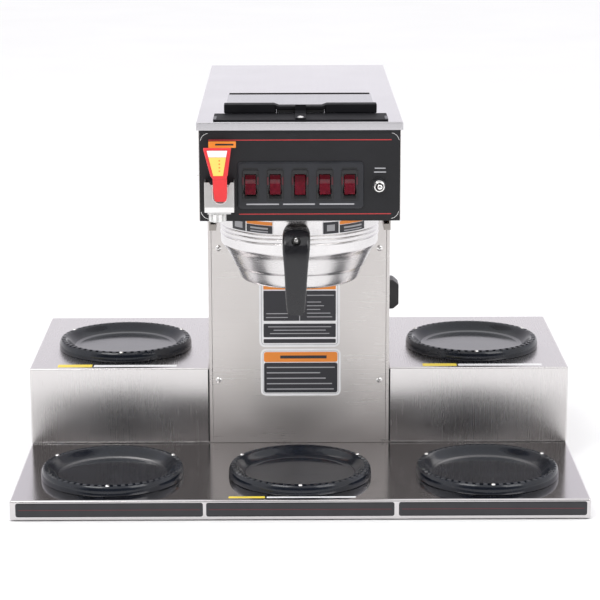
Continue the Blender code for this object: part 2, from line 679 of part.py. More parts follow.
def make_funnel_handle():
    """Lofted handle: it leaves the funnel forwards, turns down and tapers to a rounded end."""
    stations = ((8.0, 297.0, 0.0, 24.0, 16.5, -3.4), (-10.0, 297.6, 0.0, 26.4, 16.8, -3.5),
                (-20.5, 296.6, 18.0, 27.2, 16.6, -3.6), (-26.6, 292.0, 52.0, 27.4, 14.0, -3.8),
                (-29.0, 284.5, 80.0, 26.6, 11.0, -3.9), (-29.6, 272.0, 90.0, 23.6, 9.4, -4.0),
                (-29.6, 250.0, 90.0, 21.4, 8.6, -4.2), (-29.6, 232.0, 90.0, 18.8, 8.0, -4.3),
                (-29.6, 226.4, 90.0, 17.4, 7.0, -4.3), (-29.6, 222.8, 90.0, 14.0, 4.4, -4.3))
    section_radius = 3.0
    rings = []
    for y, z, turn, width, thickness, x in stations:
        radius = min(section_radius, thickness / 2 - 0.3)
        ring = []
        for across, through in rounded_rectangle(width, thickness, radius):
            ring.append((x + across, y - through * sin(radians(turn)), z + through * cos(radians(turn))))
        rings.append(ring)
    bm = bmesh.new()
    add_loft(bm, rings)
    handle = store("funnel_handle", bm, "handle_black", pivot=(0.0, FUNNEL_Y, FUNNEL_FLANGE_Z[0]),
                   round_part=True)

    def root(tool):
        inner = FUNNEL_RADIUS + FUNNEL_RIDGE + GAP
        outer = FUNNEL_FLANGE_RADIUS + GAP
        step = FUNNEL_FLANGE_Z[0] - GAP
        profile = ((0.0, 270.0), (inner, 270.0), (inner, step), (outer, step), (outer, 320.0), (0.0, 320.0))
        add_lathe(tool, profile, (0.0, FUNNEL_Y, 0.0), FUNNEL_SEGMENTS)

    def screw_recess(tool):
        profile = ((0.0, -15.0), (4.0, -15.0), (4.0, 5.0), (0.0, 5.0))
        add_lathe(tool, profile, (-3.9, -33.0, 297.0), 20, axis="Y")
    combine(handle, cutter("funnel_handle_root_tool", root), "DIFFERENCE")
    combine(handle, cutter("funnel_handle_recess_tool", screw_recess), "DIFFERENCE")


# ---------------------------------------------------------------- pour-in tray, flap and latch
def make_pour_in():
    bm = bmesh.new()
    basin_x = (POUR_X[0] + GAP, POUR_X[1] - GAP)
    add_open_box(bm, basin_x, (POUR_Y[0] + GAP, TRAY_REAR), (TRAY_FLOOR, LID_Z[1]), 2.0, "top")
    tray = store("pour_in_tray", bm, "black_plastic")

    def bridge(tool):
        add_box(tool, basin_x, (POUR_Y[0] + GAP, SHELF_Y[1]), (LID_Z[1] - 1.0, LID_Z[1] + 0.8))

    def shelf(tool):
        add_box(tool, SHELF_X, SHELF_Y, (LID_Z[1] + GAP, SHELF_TOP))

    def drain(tool):
        for x in (-11.0, 1.0, 13.0):
            add_lathe(tool, ((0.0, -4.0), (2.6, -4.0), (2.6, 6.0), (0.0, 6.0)), (x, 150.0, TRAY_FLOOR), 12)
    combine(tray, cutter("pour_in_bridge_tool", bridge), "UNION")
    combine(tray, cutter("pour_in_shelf_tool", shelf), "UNION")
    combine(tray, cutter("pour_in_drain_tool", drain), "DIFFERENCE")

    hinge = (sum(FLAP_X) / 2, FLAP_HINGE_Y, sum(FLAP_Z) / 2)
    bm = bmesh.new()
    add_box(bm, FLAP_X, FLAP_Y, FLAP_Z)
    store("pour_in_flap", bm, "lid_steel", pivot=hinge)

    middle = sum(FLAP_X) / 2
    bm = bmesh.new()
    add_box(bm, (middle - 76.4, middle + 76.4), LIP_Y, (FLAP_Z[1] + GAP, LIP_TOP))
    bevel_convex(bm, 0.8)
    lip = store("flap_lip", bm, "black_plastic", pivot=hinge)

    def finger_pull(tool):
        add_box(tool, (middle - 24.2, middle + 24.2), (LIP_Y[0] - 3.0, LIP_Y[0] + 9.0), (410.0, 418.6))

    def finger_step(tool):
        add_box(tool, (middle - 24.2, middle + 24.2), (LIP_Y[0] - 3.0, LIP_Y[0] + 2.0), (417.0, 430.0))
    combine(lip, cutter("flap_lip_pull_tool", finger_pull), "DIFFERENCE")
    combine(lip, cutter("flap_lip_step_tool", finger_step), "DIFFERENCE")

    front = SHELF_Y[0] + 0.5
    rear = LIP_Y[0] - GAP
    low = SHELF_TOP + GAP
    outline = ((front, low), (rear, low), (rear, LIP_TOP), (rear - 1.6, LIP_TOP), (rear - 1.6, low + 1.4),
               (front, low + 1.4))
    bm = bmesh.new()
    add_prism(bm, outline, "X", (middle - 5.4, middle + 5.4))
    store("flap_latch", bm, "black_plastic")


# ---------------------------------------------------------------- tank and services
def make_tank():
    bm = bmesh.new()
    add_open_box(bm, (-80.0, 80.0), (225.0, 425.0), (120.0, 330.0), SHEET, "top")
    store("water_tank", bm, "hidden_steel")

    lid = box_part("tank_lid", "hidden_steel", (-80.0, 80.0), (225.0, 425.0), (330.0 + GAP, 332.0))
    heater_y = 320.0
    reach = 32.0

    def holes(tool):
        for x in (-reach, reach):
            profile = ((0.0, -5.0), (4.6, -5.0), (4.6, 5.0), (0.0, 5.0))
            add_lathe(tool, profile, (x, heater_y, 331.0), 20)
    combine(lid, cutter("tank_lid_hole_tool", holes), "DIFFERENCE")

    curve = bpy.data.curves.new("tank_heater", "CURVE")
    curve.dimensions = "3D"
    curve.bevel_depth = 4.0 * MM
    curve.bevel_resolution = 2
    curve.use_fill_caps = True
    spline = curve.splines.new("POLY")
    path = [(-reach, heater_y, 345.0)]
    path += [(x, heater_y, z) for x, z in arc((0.0, 175.0), reach, 180.0, 360.0, 10)]
    path += [(reach, heater_y, 345.0)]
    spline.points.add(len(path) - 1)
    for point, place in zip(spline.points, path):
        point.co = (*(Vector(place) * MM), 1.0)
    heater = bpy.data.objects.new("tank_heater", curve)
    heater.location = LAYOUT_SHIFT * MM
    bpy.context.scene.collection.objects.link(heater)
    curve.materials.append(MATERIALS["heater_sheath"])


def make_rear_fittings():
    panel_in = -SHEET - GAP
    spot = (INLET_X, BASE_DEPTH, FITTING_Z)
    inlet = ((2.7, FITTING_REACH), (5.4, FITTING_REACH), (6.4, FITTING_REACH - 1.0), (6.4, -8.0),
             (2.7, -8.0))
    bm = bmesh.new()
    add_lathe(bm, inlet, spot, 24, axis="Y", closed=True)
    valve = store("inlet_valve", bm, "brass", round_part=True)

    def block(tool):
        add_box(tool, (INLET_X - 16.0, INLET_X + 16.0), (BASE_DEPTH - 40.0, BASE_DEPTH + panel_in - 4.0),
                (FITTING_Z - 14.0, FITTING_Z + 22.0))
    combine(valve, cutter("inlet_valve_block_tool", block), "UNION")

    gland = ((4.8, 10.5), (8.4, 10.5), (10.8, 8.5), (10.8, GAP), (8.7, GAP), (8.7, -12.0), (4.8, -12.0))
    bm = bmesh.new()
    add_lathe(bm, gland, (GLAND_X, BASE_DEPTH, FITTING_Z), 24, axis="Y", closed=True)
    store("power_gland", bm, "black_plastic", round_part=True)


def make_side_connector():
    """Moulded block on the right side of the trunk, with sloped upper and lower ends."""
    wall = TRUNK_HALF + GAP
    outline = ((wall, 153.0), (wall, 187.7), (wall + 8.0, 187.0), (wall + 14.1, 181.6), (wall + 14.1, 158.8),
               (wall + 8.0, 153.6))
    bm = bmesh.new()
    add_prism(bm, outline, "Y", (287.0, 313.0))
    bevel_convex(bm, 0.8)
    store("side_connector", bm, "black_plastic")


def main():
    clear_scene()
    make_materials()
    make_base()
    make_warmers()
    make_shell()
    make_switch_bezel()
    make_rockers()
    make_start_switch()
    make_faucet()
    make_funnel_rails()
    make_spray_head()
    make_brew_funnel()
    make_funnel_handle()
    make_pour_in()
    make_tank()
    make_rear_fittings()
    make_side_connector()


main()
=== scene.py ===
"""Looks of the counter-top coffee brewer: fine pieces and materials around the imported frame.

Pieces are drawn in layout millimetres: X to the right, Y from the front edge of the decks to the back,
Z up from the lower edge of the deck skirts.  store() turns them into metres in the frame's own place.
"""
import bpy
import bmesh
from math import atan2, cos, pi, radians, sin
from mathutils import Matrix, Vector


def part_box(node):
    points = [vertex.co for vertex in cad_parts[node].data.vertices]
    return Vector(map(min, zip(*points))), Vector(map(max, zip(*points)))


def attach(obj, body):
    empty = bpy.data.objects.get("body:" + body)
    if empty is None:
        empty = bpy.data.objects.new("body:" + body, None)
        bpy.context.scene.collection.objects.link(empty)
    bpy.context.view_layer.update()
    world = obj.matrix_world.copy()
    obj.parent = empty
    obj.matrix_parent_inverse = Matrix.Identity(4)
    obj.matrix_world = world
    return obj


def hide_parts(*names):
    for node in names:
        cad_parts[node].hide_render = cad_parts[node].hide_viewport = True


MM = 0.001
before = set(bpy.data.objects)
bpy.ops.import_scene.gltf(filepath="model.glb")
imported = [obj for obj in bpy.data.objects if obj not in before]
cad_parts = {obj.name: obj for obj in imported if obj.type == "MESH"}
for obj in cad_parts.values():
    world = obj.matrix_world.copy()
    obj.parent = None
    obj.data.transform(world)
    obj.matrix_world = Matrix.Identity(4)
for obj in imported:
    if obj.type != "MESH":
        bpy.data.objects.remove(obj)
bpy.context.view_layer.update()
DATUM = Vector((0.0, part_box("base_deck")[0].y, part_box("base_deck")[0].z))


def span(node):
    """Lowest and highest corner of a CAD node in layout millimetres."""
    low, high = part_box(node)
    return (low - DATUM) / MM, (high - DATUM) / MM


def middle(node):
    low, high = span(node)
    return (low + high) / 2


def half_width(node):
    low, high = span(node)
    return (high.x - low.x) / 2


# ---------------------------------------------------------------- material tools
class Nodes:
    """A material's node tree with short ways to add nodes."""

    def __init__(self, name, colour, roughness, metallic=0.0):
        self.material = bpy.data.materials.new(name)
        self.material.use_nodes = True
        self.tree = self.material.node_tree
        self.shader = self.tree.nodes["Principled BSDF"]
        self.set("Base Color", (*colour, 1.0))
        self.set("Roughness", roughness)
        self.set("Metallic", metallic)
        self.material.diffuse_color = (*colour, 1.0)

    def set(self, socket, value):
        self.shader.inputs[socket].default_value = value

    def add(self, kind, **values):
        node = self.tree.nodes.new("ShaderNode" + kind)
        for key, value in values.items():
            setattr(node, key, value)
        return node

    def link(self, output, target):
        self.tree.links.new(output, target)

    def place(self, scale, offset=(0.0, 0.0, 0.0)):
        """Object coordinates, stretched by scale, in units per metre."""
        coordinates = self.add("TexCoord")
        mapping = self.add("Mapping")
        mapping.inputs["Scale"].default_value = scale
        mapping.inputs["Location"].default_value = offset
        self.link(coordinates.outputs["Object"], mapping.inputs["Vector"])
        return mapping.outputs["Vector"]

    def noise(self, vector, detail=3.0, rough=0.55, scale=1.0):
        node = self.add("TexNoise")
        node.inputs["Scale"].default_value = scale
        node.inputs["Detail"].default_value = detail
        node.inputs["Roughness"].default_value = rough
        self.link(vector, node.inputs["Vector"])
        return node.outputs["Fac"]

    def spread(self, value, low, high, from_low=0.3, from_high=0.7):
        node = self.add("MapRange")
        limits = {"From Min": from_low, "From Max": from_high, "To Min": low, "To Max": high}
        for socket, limit in limits.items():
            node.inputs[socket].default_value = limit
        self.link(value, node.inputs["Value"])
        return node.outputs["Result"]

    def blend(self, factor, first, second):
        """Mix two colours; each is a colour or another node's output."""
        node = self.add("Mix", data_type="RGBA")
        self.link(factor, node.inputs["Factor"])
        for socket, colour in ((node.inputs[6], first), (node.inputs[7], second)):
            if isinstance(colour, bpy.types.NodeSocket):
                self.link(colour, socket)
            else:
                socket.default_value = (*colour, 1.0)
        return node.outputs[2]

    def join(self, first, second, operation="ADD"):
        node = self.add("Math", operation=operation)
        for socket, value in ((node.inputs[0], first), (node.inputs[1], second)):
            if isinstance(value, bpy.types.NodeSocket):
                self.link(value, socket)
            else:
                socket.default_value = value
        return node.outputs[0]

    def tones(self, value, dark, light):
        """Colour that goes from dark to light with a noise value."""
        self.link(self.blend(self.spread(value, 0.0, 1.0), dark, light), self.shader.inputs["Base Color"])

    def roughness(self, output):
        self.link(output, self.shader.inputs["Roughness"])

    def relief(self, height, strength, depth):
        """Bump from a height value; depth is in millimetres."""
        bump = self.add("Bump")
        bump.inputs["Strength"].default_value = strength
        bump.inputs["Distance"].default_value = depth * MM
        self.link(height, bump.inputs["Height"])
        self.link(bump.outputs["Normal"], self.shader.inputs["Normal"])


def shade(colour, factor):
    return tuple(min(1.0, channel * factor) for channel in colour)


def brushed_steel(name, colour, roughness, across, relief, contrast, stretch):
    """Sheet steel whose brush lines vary only along one axis, with faint smudges and uneven polish."""
    nodes = Nodes(name, colour, roughness, 1.0)
    fine_scale = tuple(2600.0 if axis == across else 9.0 for axis in "XYZ")
    broad_scale = tuple(320.0 if axis == across else 3.0 for axis in "XYZ")
    fine = nodes.noise(nodes.place(fine_scale), 2.0)
    broad = nodes.noise(nodes.place(broad_scale), 3.0)
    smudge = nodes.noise(nodes.place((14.0, 14.0, 14.0), (3.1, 1.7, 0.4)), 4.0)
    lines = nodes.join(nodes.join(fine, 0.6, "MULTIPLY"), nodes.join(broad, 0.4, "MULTIPLY"))
    nodes.tones(lines, shade(colour, 1.0 - contrast), shade(colour, 1.0 + contrast))
    polish = nodes.join(nodes.spread(lines, -0.015, 0.015), nodes.spread(smudge, -0.015, 0.015))
    nodes.roughness(nodes.join(polish, roughness))
    nodes.relief(fine, relief, 0.01)
    direction = nodes.add("CombineXYZ")
    direction.inputs[across].default_value = 1.0
    nodes.link(direction.outputs["Vector"], nodes.shader.inputs["Tangent"])
    nodes.set("Anisotropic", stretch)
    return nodes.material


def spun_steel(name, colour, roughness, centre):
    """Turned steel: fine rings about a vertical axis."""
    nodes = Nodes(name, colour, roughness, 1.0)
    coordinates = nodes.add("TexCoord")
    shift = nodes.add("VectorMath", operation="SUBTRACT")
    shift.inputs[1].default_value = centre
    nodes.link(coordinates.outputs["Object"], shift.inputs[0])
    parts = nodes.add("SeparateXYZ")
    nodes.link(shift.outputs["Vector"], parts.inputs["Vector"])
    squares = nodes.join(*(nodes.join(parts.outputs[axis], 2.0, "POWER") for axis in "XY"))
    rings = nodes.add("CombineXYZ")
    nodes.link(nodes.join(squares, 0.5, "POWER"), rings.inputs["X"])
    nodes.link(parts.outputs["Z"], rings.inputs["Z"])
    fine = nodes.noise(rings.outputs["Vector"], 3.0, scale=1400.0)
    smudge = nodes.noise(nodes.place((30.0, 30.0, 18.0)), 4.0)
    nodes.tones(fine, shade(colour, 0.93), shade(colour, 1.05))
    polish = nodes.join(nodes.spread(fine, -0.04, 0.04), nodes.spread(smudge, -0.05, 0.05))
    nodes.roughness(nodes.join(polish, roughness))
    nodes.relief(fine, 0.2, 0.02)
    return nodes.material


def plain_metal(name, colour, roughness, grain=180.0, relief=0.1):
    """Metal with slight tone and polish variation."""
    nodes = Nodes(name, colour, roughness, 1.0)
    mottle = nodes.noise(nodes.place((grain,) * 3), 4.0)
    nodes.tones(mottle, shade(colour, 0.88), shade(colour, 1.06))
    nodes.roughness(nodes.join(nodes.spread(mottle, -0.05, 0.06), roughness))
    nodes.relief(mottle, relief, 0.05)
    return nodes.material


def moulded(name, colour, roughness, grain, relief, lift=1.25, ior=1.5):
    """Moulded or painted surface: fine grain, soft tone changes and handling marks."""
    nodes = Nodes(name, colour, roughness)
    nodes.set("IOR", ior)
    fine = nodes.noise(nodes.place((grain,) * 3), 2.0)
    marks = nodes.noise(nodes.place((40.0,) * 3, (1.3, 0.2, 2.6)), 5.0, 0.65)
    nodes.tones(marks, shade(colour, 1.0 / lift), shade(colour, lift))
    nodes.roughness(nodes.join(nodes.spread(marks, -0.06, 0.08), roughness))
    nodes.relief(fine, relief, 0.05)
    return nodes.material


def warmer_enamel(name, ior, coat):
    """Black glass enamel: slight orange peel, faint dust and wiped marks."""
    colour = (0.007, 0.009, 0.014)
    nodes = Nodes(name, colour, 0.12)
    nodes.set("IOR", ior)
    nodes.set("Coat Weight", coat)
    nodes.set("Coat IOR", ior)
    nodes.set("Coat Roughness", 0.08)
    peel = nodes.noise(nodes.place((420.0,) * 3), 2.0)
    wipe = nodes.noise(nodes.place((22.0, 60.0, 22.0)), 5.0, 0.6)
    nodes.tones(wipe, shade(colour, 0.7), shade(colour, 1.6))
    nodes.roughness(nodes.spread(wipe, 0.10, 0.18))
    nodes.relief(peel, 0.02, 0.05)
    return nodes.material


def rocker_lens(name, ior, coat):
    """Translucent red lens, darkened towards its upper end by painted shade."""
    nodes = Nodes(name, (0.10, 0.004, 0.010), 0.16)
    nodes.set("IOR", ior)
    nodes.set("Coat Weight", coat)
    nodes.set("Subsurface Weight", 0.12)
    nodes.set("Subsurface Scale", 0.002)
    coordinates = nodes.add("TexCoord")
    parts = nodes.add("SeparateXYZ")
    nodes.link(coordinates.outputs["Object"], parts.inputs["Vector"])
    pivot = DATUM.z + ROCKER_HEIGHT * MM
    # painted shade: the colour goes dark from 1.5 mm to 6 mm above the pivot, over the lens's upper end
    depth = nodes.spread(parts.outputs["Z"], 0.0, 1.0, pivot + 0.0015, pivot + 0.006)
    cloud = nodes.noise(nodes.place((300.0,) * 3), 3.0)
    lit = nodes.blend(nodes.spread(cloud, 0.0, 1.0), (0.075, 0.004, 0.010), (0.13, 0.007, 0.016))
    nodes.link(nodes.blend(depth, lit, (0.060, 0.003, 0.007)), nodes.shader.inputs["Base Color"])
    nodes.roughness(nodes.spread(cloud, 0.12, 0.22))
    nodes.relief(cloud, 0.06, 0.05)
    return nodes.material


# name, colour, roughness, axis across the brush lines, relief, contrast, anisotropy
BRUSHED = (
    ("deck_steel", (0.63, 0.61, 0.615), 0.12, "X", 0.02, 0.02, 0.8),
    ("step_steel", (0.69, 0.67, 0.665), 0.27, "X", 0.01, 0.02, 0.75),
    ("trunk_steel", (0.72, 0.69, 0.67), 0.29, "Z", 0.015, 0.018, 0.9),
    ("lid_steel", (0.61, 0.60, 0.62), 0.24, "X", 0.02, 0.01, 0.5),
    ("flap_steel", (0.39, 0.39, 0.415), 0.24, "X", 0.02, 0.01, 0.5),
)
# name, colour, roughness, grain per metre, relief
METALS = (
    ("hidden_steel", (0.50, 0.50, 0.50), 0.42),
    ("polished_steel", (0.82, 0.81, 0.80), 0.14, 60.0, 0.04),
    ("shield_steel", (0.54, 0.53, 0.52), 0.34, 90.0, 0.05),
    ("screw_steel", (0.78, 0.77, 0.76), 0.22, 400.0, 0.10),
    ("rail_steel", (0.36, 0.335, 0.31), 0.36, 120.0, 0.05),
    ("brass", (0.70, 0.50, 0.22), 0.28, 250.0),
    ("heater_sheath", (0.30, 0.28, 0.26), 0.46, 120.0),
)
# name, colour, roughness, grain per metre, relief, tone lift, index of refraction
MOULDED = (
    ("black_panel", (0.008, 0.008, 0.010), 0.40, 900.0, 0.15, 1.25, 1.42),
    ("bezel_black", (0.013, 0.014, 0.018), 0.36, 1300.0, 0.20, 1.25, 1.48),
    ("black_plastic", (0.010, 0.010, 0.012), 0.38, 1300.0, 0.20),
    ("shadow_black", (0.006, 0.006, 0.007), 0.55, 900.0, 0.10),
    ("handle_black", (0.010, 0.010, 0.012), 0.24, 700.0, 0.10),
    ("frame_black", (0.004, 0.004, 0.005), 0.28, 1300.0, 0.15),
    ("tray_black", (0.008, 0.008, 0.010), 0.62, 1300.0, 0.25, 1.25, 1.25),
    ("rubber", (0.020, 0.020, 0.021), 0.78, 1100.0, 0.30),
    ("clip_grey", (0.09, 0.09, 0.10), 0.45, 1300.0, 0.15),
    ("faucet_red", (0.72, 0.030, 0.035), 0.30, 900.0, 0.08, 1.06),
    ("faucet_white", (0.78, 0.78, 0.77), 0.34, 900.0, 0.08, 1.04),
    ("ear_red", (0.070, 0.004, 0.009), 0.35, 900.0, 0.08, 1.10),
    ("line_red", (0.46, 0.030, 0.032), 0.40, 900.0, 0.08, 1.08),
    ("strip_black", (0.020, 0.020, 0.024), 0.34, 900.0, 0.10),
    ("strip_red", (0.12, 0.020, 0.026), 0.40, 900.0, 0.08, 1.08),
    ("label_white", (0.88, 0.88, 0.89), 0.50, 1500.0, 0.08, 1.04),
    ("label_grey", (0.40, 0.40, 0.42), 0.50, 1500.0, 0.08, 1.06),
    ("label_dark", (0.026, 0.026, 0.032), 0.45, 1500.0, 0.08, 1.10),
    ("label_orange", (0.86, 0.27, 0.035), 0.45, 1500.0, 0.08, 1.05),
    ("label_yellow", (0.94, 0.66, 0.14), 0.45, 1500.0, 0.08, 1.05),
    ("mark_yellow", (0.90, 0.70, 0.07), 0.45, 1500.0, 0.08, 1.05),
)
# name, index of refraction, coat
ENAMELS = (("warmer_enamel", 1.45, 0.0), ("warmer_floor", 1.62, 0.45))
LENSES = (("rocker_lens", 1.42, 0.1), ("rocker_lens_out", 1.18, 0.0))


def make_materials():
    made = {}
    for mix, rows in ((brushed_steel, BRUSHED), (plain_metal, METALS), (moulded, MOULDED),
                      (warmer_enamel, ENAMELS), (rocker_lens, LENSES)):
        for name, *values in rows:
            made[name] = mix(name, *values)
    axis = middle("brew_funnel")
    made["funnel_steel"] = spun_steel("funnel_steel", (0.73, 0.715, 0.715), 0.26,
                                      DATUM + Vector((axis.x, axis.y, 0.0)) * MM)
    return made


# ---------------------------------------------------------------- mesh tools
def sorted_pair(a, b):
    return min(a, b), max(a, b)


def add_box(bm, x, y, z):
    size = Vector((x[1] - x[0], y[1] - y[0], z[1] - z[0]))
    centre = Vector((x[0] + x[1], y[0] + y[1], z[0] + z[1])) / 2
    placed = Matrix.Translation(centre) @ Matrix.Diagonal((*size, 1.0))
    return bmesh.ops.create_cube(bm, size=1.0, matrix=placed)["verts"]


def add_prism(bm, outline, axis, ends):
    """Extrude a closed outline along an axis; the outline is in the other two axes, in order."""
    index = "XYZ".index(axis)
    add_loft(bm, [[(*point[:index], end, *point[index:]) for point in outline] for end in ends])


def add_lathe(bm, profile, centre, segments, axis="Z", closed=False, shape=None):
    """Turn (radius, height) points about an axis.  shape(angle, r, h) may change a point as it goes round."""
    centre = Vector(centre)
    rings = []
    for r, h in profile:
        ring = []
        turns = range(1) if r == 0.0 else range(segments)
        for step in turns:
            angle = 2 * pi * step / segments
            rr, hh = shape(angle, r, h) if shape else (r, h)
            a, b = rr * cos(angle), rr * sin(angle)
            point = {"X": (hh, a, b), "Y": (b, hh, a), "Z": (a, b, hh)}[axis]
            ring.append(bm.verts.new(centre + Vector(point)))
        rings.append(ring)
    pairs = list(zip(rings, rings[1:]))
    if closed:
        pairs.append((rings[-1], rings[0]))
    for low, high in pairs:
        for step in range(segments):
            after = (step + 1) % segments
            corners = (low[step % len(low)], low[after % len(low)],
                       high[after % len(high)], high[step % len(high)])
            unique = list(dict.fromkeys(corners))
            if len(unique) > 2:
                bm.faces.new(unique)
    return rings


def add_rod(bm, radius, ends, centre, segments, axis="Z"):
    low, high = ends
    add_lathe(bm, [(0.0, low), (radius, low), (radius, high), (0.0, high)], centre, segments, axis)


def add_loft(bm, rings, cap=True):
    """Join rings of points to a skin, with a face on each end."""
    loops = [[bm.verts.new(point) for point in ring] for ring in rings]
    count = len(loops[0])
    for low, high in zip(loops, loops[1:]):
        for i in range(count):
            j = (i + 1) % count
            bm.faces.new((low[i], low[j], high[j], high[i]))
    if cap:
        bm.faces.new(loops[0])
        bm.faces.new(loops[-1])


def rounded(low, high, radius, steps=4):
    """Outline of a rectangle with rounded corners, from its low and high corners."""
    points = []
    corners = ((high[0], high[1], 0), (low[0], high[1], 90), (low[0], low[1], 180), (high[0], low[1], 270))
    for a, b, start in corners:
        centre_a = a - radius if a == high[0] else a + radius
        centre_b = b - radius if b == high[1] else b + radius
        for step in range(steps + 1):
            angle = radians(start + 90 * step / steps)
            points.append((centre_a + radius * cos(angle), centre_b + radius * sin(angle)))
    return points


def around(x, z, inset=0.0):
    """Low and high corner of a rectangle, moved inwards."""
    return (x[0] + inset, z[0] + inset), (x[1] - inset, z[1] - inset)


def arc(centre, radius, start, end, steps):
    angles = [radians(start + (end - start) * i / steps) for i in range(steps + 1)]
    return [(centre[0] + radius * cos(angle), centre[1] + radius * sin(angle)) for angle in angles]


def hexagon(centre, radius, turn=0.0):
    angles = [radians(60 * k + turn) for k in range(6)]
    return [(centre[0] + radius * sin(angle), centre[1] + radius * cos(angle)) for angle in angles]


def bevel(bm, width, segments=2, steeper_than=30.0):
    """Round the outward edges of a mesh."""
    bmesh.ops.recalc_face_normals(bm, faces=bm.faces)
    edges = [e for e in bm.edges if len(e.link_faces) == 2 and e.is_convex
             and e.calc_face_angle() > radians(steeper_than)]
    bmesh.ops.bevel(bm, geom=edges, offset=width, segments=segments, profile=0.5, affect="EDGES")


def solid(add, *shape, soft=(), **extra):
    """A new mesh drawn by one add_ function; soft is what bevel() rounds its edges with."""
    bm = bmesh.new()
    add(bm, *shape, **extra)
    if soft:
        bevel(bm, *soft)
    return bm


def write_mesh(name, bm, smooth, offset=(0.0, 0.0, 0.0)):
    """Turn a layout mesh into a Blender mesh in metres."""
    bmesh.ops.recalc_face_normals(bm, faces=bm.faces)
    bmesh.ops.scale(bm, vec=(MM, MM, MM), verts=bm.verts)
    bmesh.ops.translate(bm, vec=offset, verts=bm.verts)
    mesh = bpy.data.meshes.new(name)
    bm.to_mesh(mesh)
    bm.free()
    if smooth:
        mesh.shade_smooth()
        mesh.set_sharp_from_angle(angle=radians(smooth))
    return mesh


def welded_mesh(name, bm, smooth):
    bmesh.ops.remove_doubles(bm, verts=bm.verts, dist=0.002)
    return write_mesh(name, bm, smooth, DATUM)


def shared_mesh(name, bm, smooth, material):
    """A mesh about its own origin, for several pieces."""
    mesh = write_mesh(name, bm, smooth)
    mesh.materials.append(LOOKS[material])
    return mesh


def store(name, bm, material, body="shell", stands_for=(), smooth=35.0):
    """Turn a layout mesh into a piece of the model that rides on a body."""
    obj = bpy.data.objects.new(name, welded_mesh(name, bm, smooth))
    obj.data.materials.append(LOOKS[material])
    bpy.context.scene.collection.objects.link(obj)
    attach(obj, body)
    if stands_for:
        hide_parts(*stands_for)
    weight(obj)
    return obj


def weight(obj):
    """Let large faces rule the shading, so flats stay flat beside their rounded edges."""
    even = obj.modifiers.new("even", "WEIGHTED_NORMAL")
    even.keep_sharp = True
    even.weight = 80


def carve(obj, build, smooth=35.0):
    """Cut a shape out of a piece for good."""
    tool = bpy.data.objects.new("carving_tool", welded_mesh("carving_tool", solid(build), 0.0))
    bpy.context.scene.collection.objects.link(tool)
    obj.modifiers.clear()
    cut = obj.modifiers.new("carve", "BOOLEAN")
    cut.operation = "DIFFERENCE"
    cut.solver = "EXACT"
    cut.object = tool
    settle(obj, smooth)
    weight(obj)
    bpy.data.objects.remove(tool)


def settle(obj, smooth):
    """Turn a piece's modifiers into its mesh."""
    bpy.context.view_layer.update()
    graph = bpy.context.evaluated_depsgraph_get()
    mesh = bpy.data.meshes.new_from_object(obj.evaluated_get(graph), depsgraph=graph)
    obj.modifiers.clear()
    obj.data = mesh
    mesh.shade_smooth()
    mesh.set_sharp_from_angle(angle=radians(smooth))


def dress(nodes, material, round_edges=0.0):
    """Give CAD nodes their finish, and soften their edges where they are sharp."""
    for node in nodes.split():
        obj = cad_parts[node]
        for place in obj.material_slots:
            place.material = LOOKS[material]
        if round_edges:
            weld = obj.modifiers.new("weld", "WELD")
            weld.merge_threshold = 0.00001
            edge = obj.modifiers.new("edge", "BEVEL")
            edge.width = round_edges * MM
            edge.segments = 2
            edge.limit_method = "ANGLE"
            edge.angle_limit = radians(40)
            edge.harden_normals = False
            weight(obj)


def wall_plate(name, x, z, face, thickness, material, radius=1.0):
    """A thin plate with rounded corners on a face that looks to the front."""
    plate = solid(add_prism, rounded(*around(x, z), radius), "Y", (face - thickness, face))
    return store(name, plate, material)


def wall_bars(name, spans, face, thickness, material):
    """Plain bars on a face that looks to the front, as one piece."""
    bm = bmesh.new()
    for x, z in spans:
        radius = min(0.4, (z[1] - z[0]) / 3, (x[1] - x[0]) / 3)
        add_prism(bm, rounded(*around(x, z), radius, 2), "Y", (face - thickness, face))
    return store(name, bm, material)


def folded_cover(bm, x, y, z, radius, wall, hole=None):
    """A sheet box that is open below, with rounded bends, and an optional square hole in its top."""
    verts = add_box(bm, x, y, z)
    faces = {f for v in verts for f in v.link_faces}
    under = [f for f in faces if f.calc_center_median().z < z[0] + 0.01]
    bmesh.ops.delete(bm, geom=under, context="FACES_ONLY")
    bmesh.ops.recalc_face_normals(bm, faces=bm.faces)
    edges = [e for e in bm.edges if len(e.link_faces) == 2]
    bmesh.ops.bevel(bm, geom=edges, offset=radius, segments=3, profile=0.5, affect="EDGES")
    top = max(bm.faces, key=lambda f: f.calc_center_median().z * 1000 + f.calc_area())
    if top.normal.z < 0:
        bmesh.ops.reverse_faces(bm, faces=bm.faces)
    if hole:
        centre_y = sum(hole[1]) / 2
        inner = [bm.verts.new((a, b, z[1])) for b in hole[1] for a in hole[0]]
        outer = list(top.verts)
        bm.faces.remove(top)
        for loop in (outer, inner):
            loop.sort(key=lambda v: atan2(v.co.y - centre_y, v.co.x))
        for i in range(4):
            j = (i + 1) % 4
            bm.faces.new((outer[i], outer[j], inner[j], inner[i]))
    bmesh.ops.recalc_face_normals(bm, faces=bm.faces)
    bmesh.ops.solidify(bm, geom=bm.faces[:], thickness=wall)


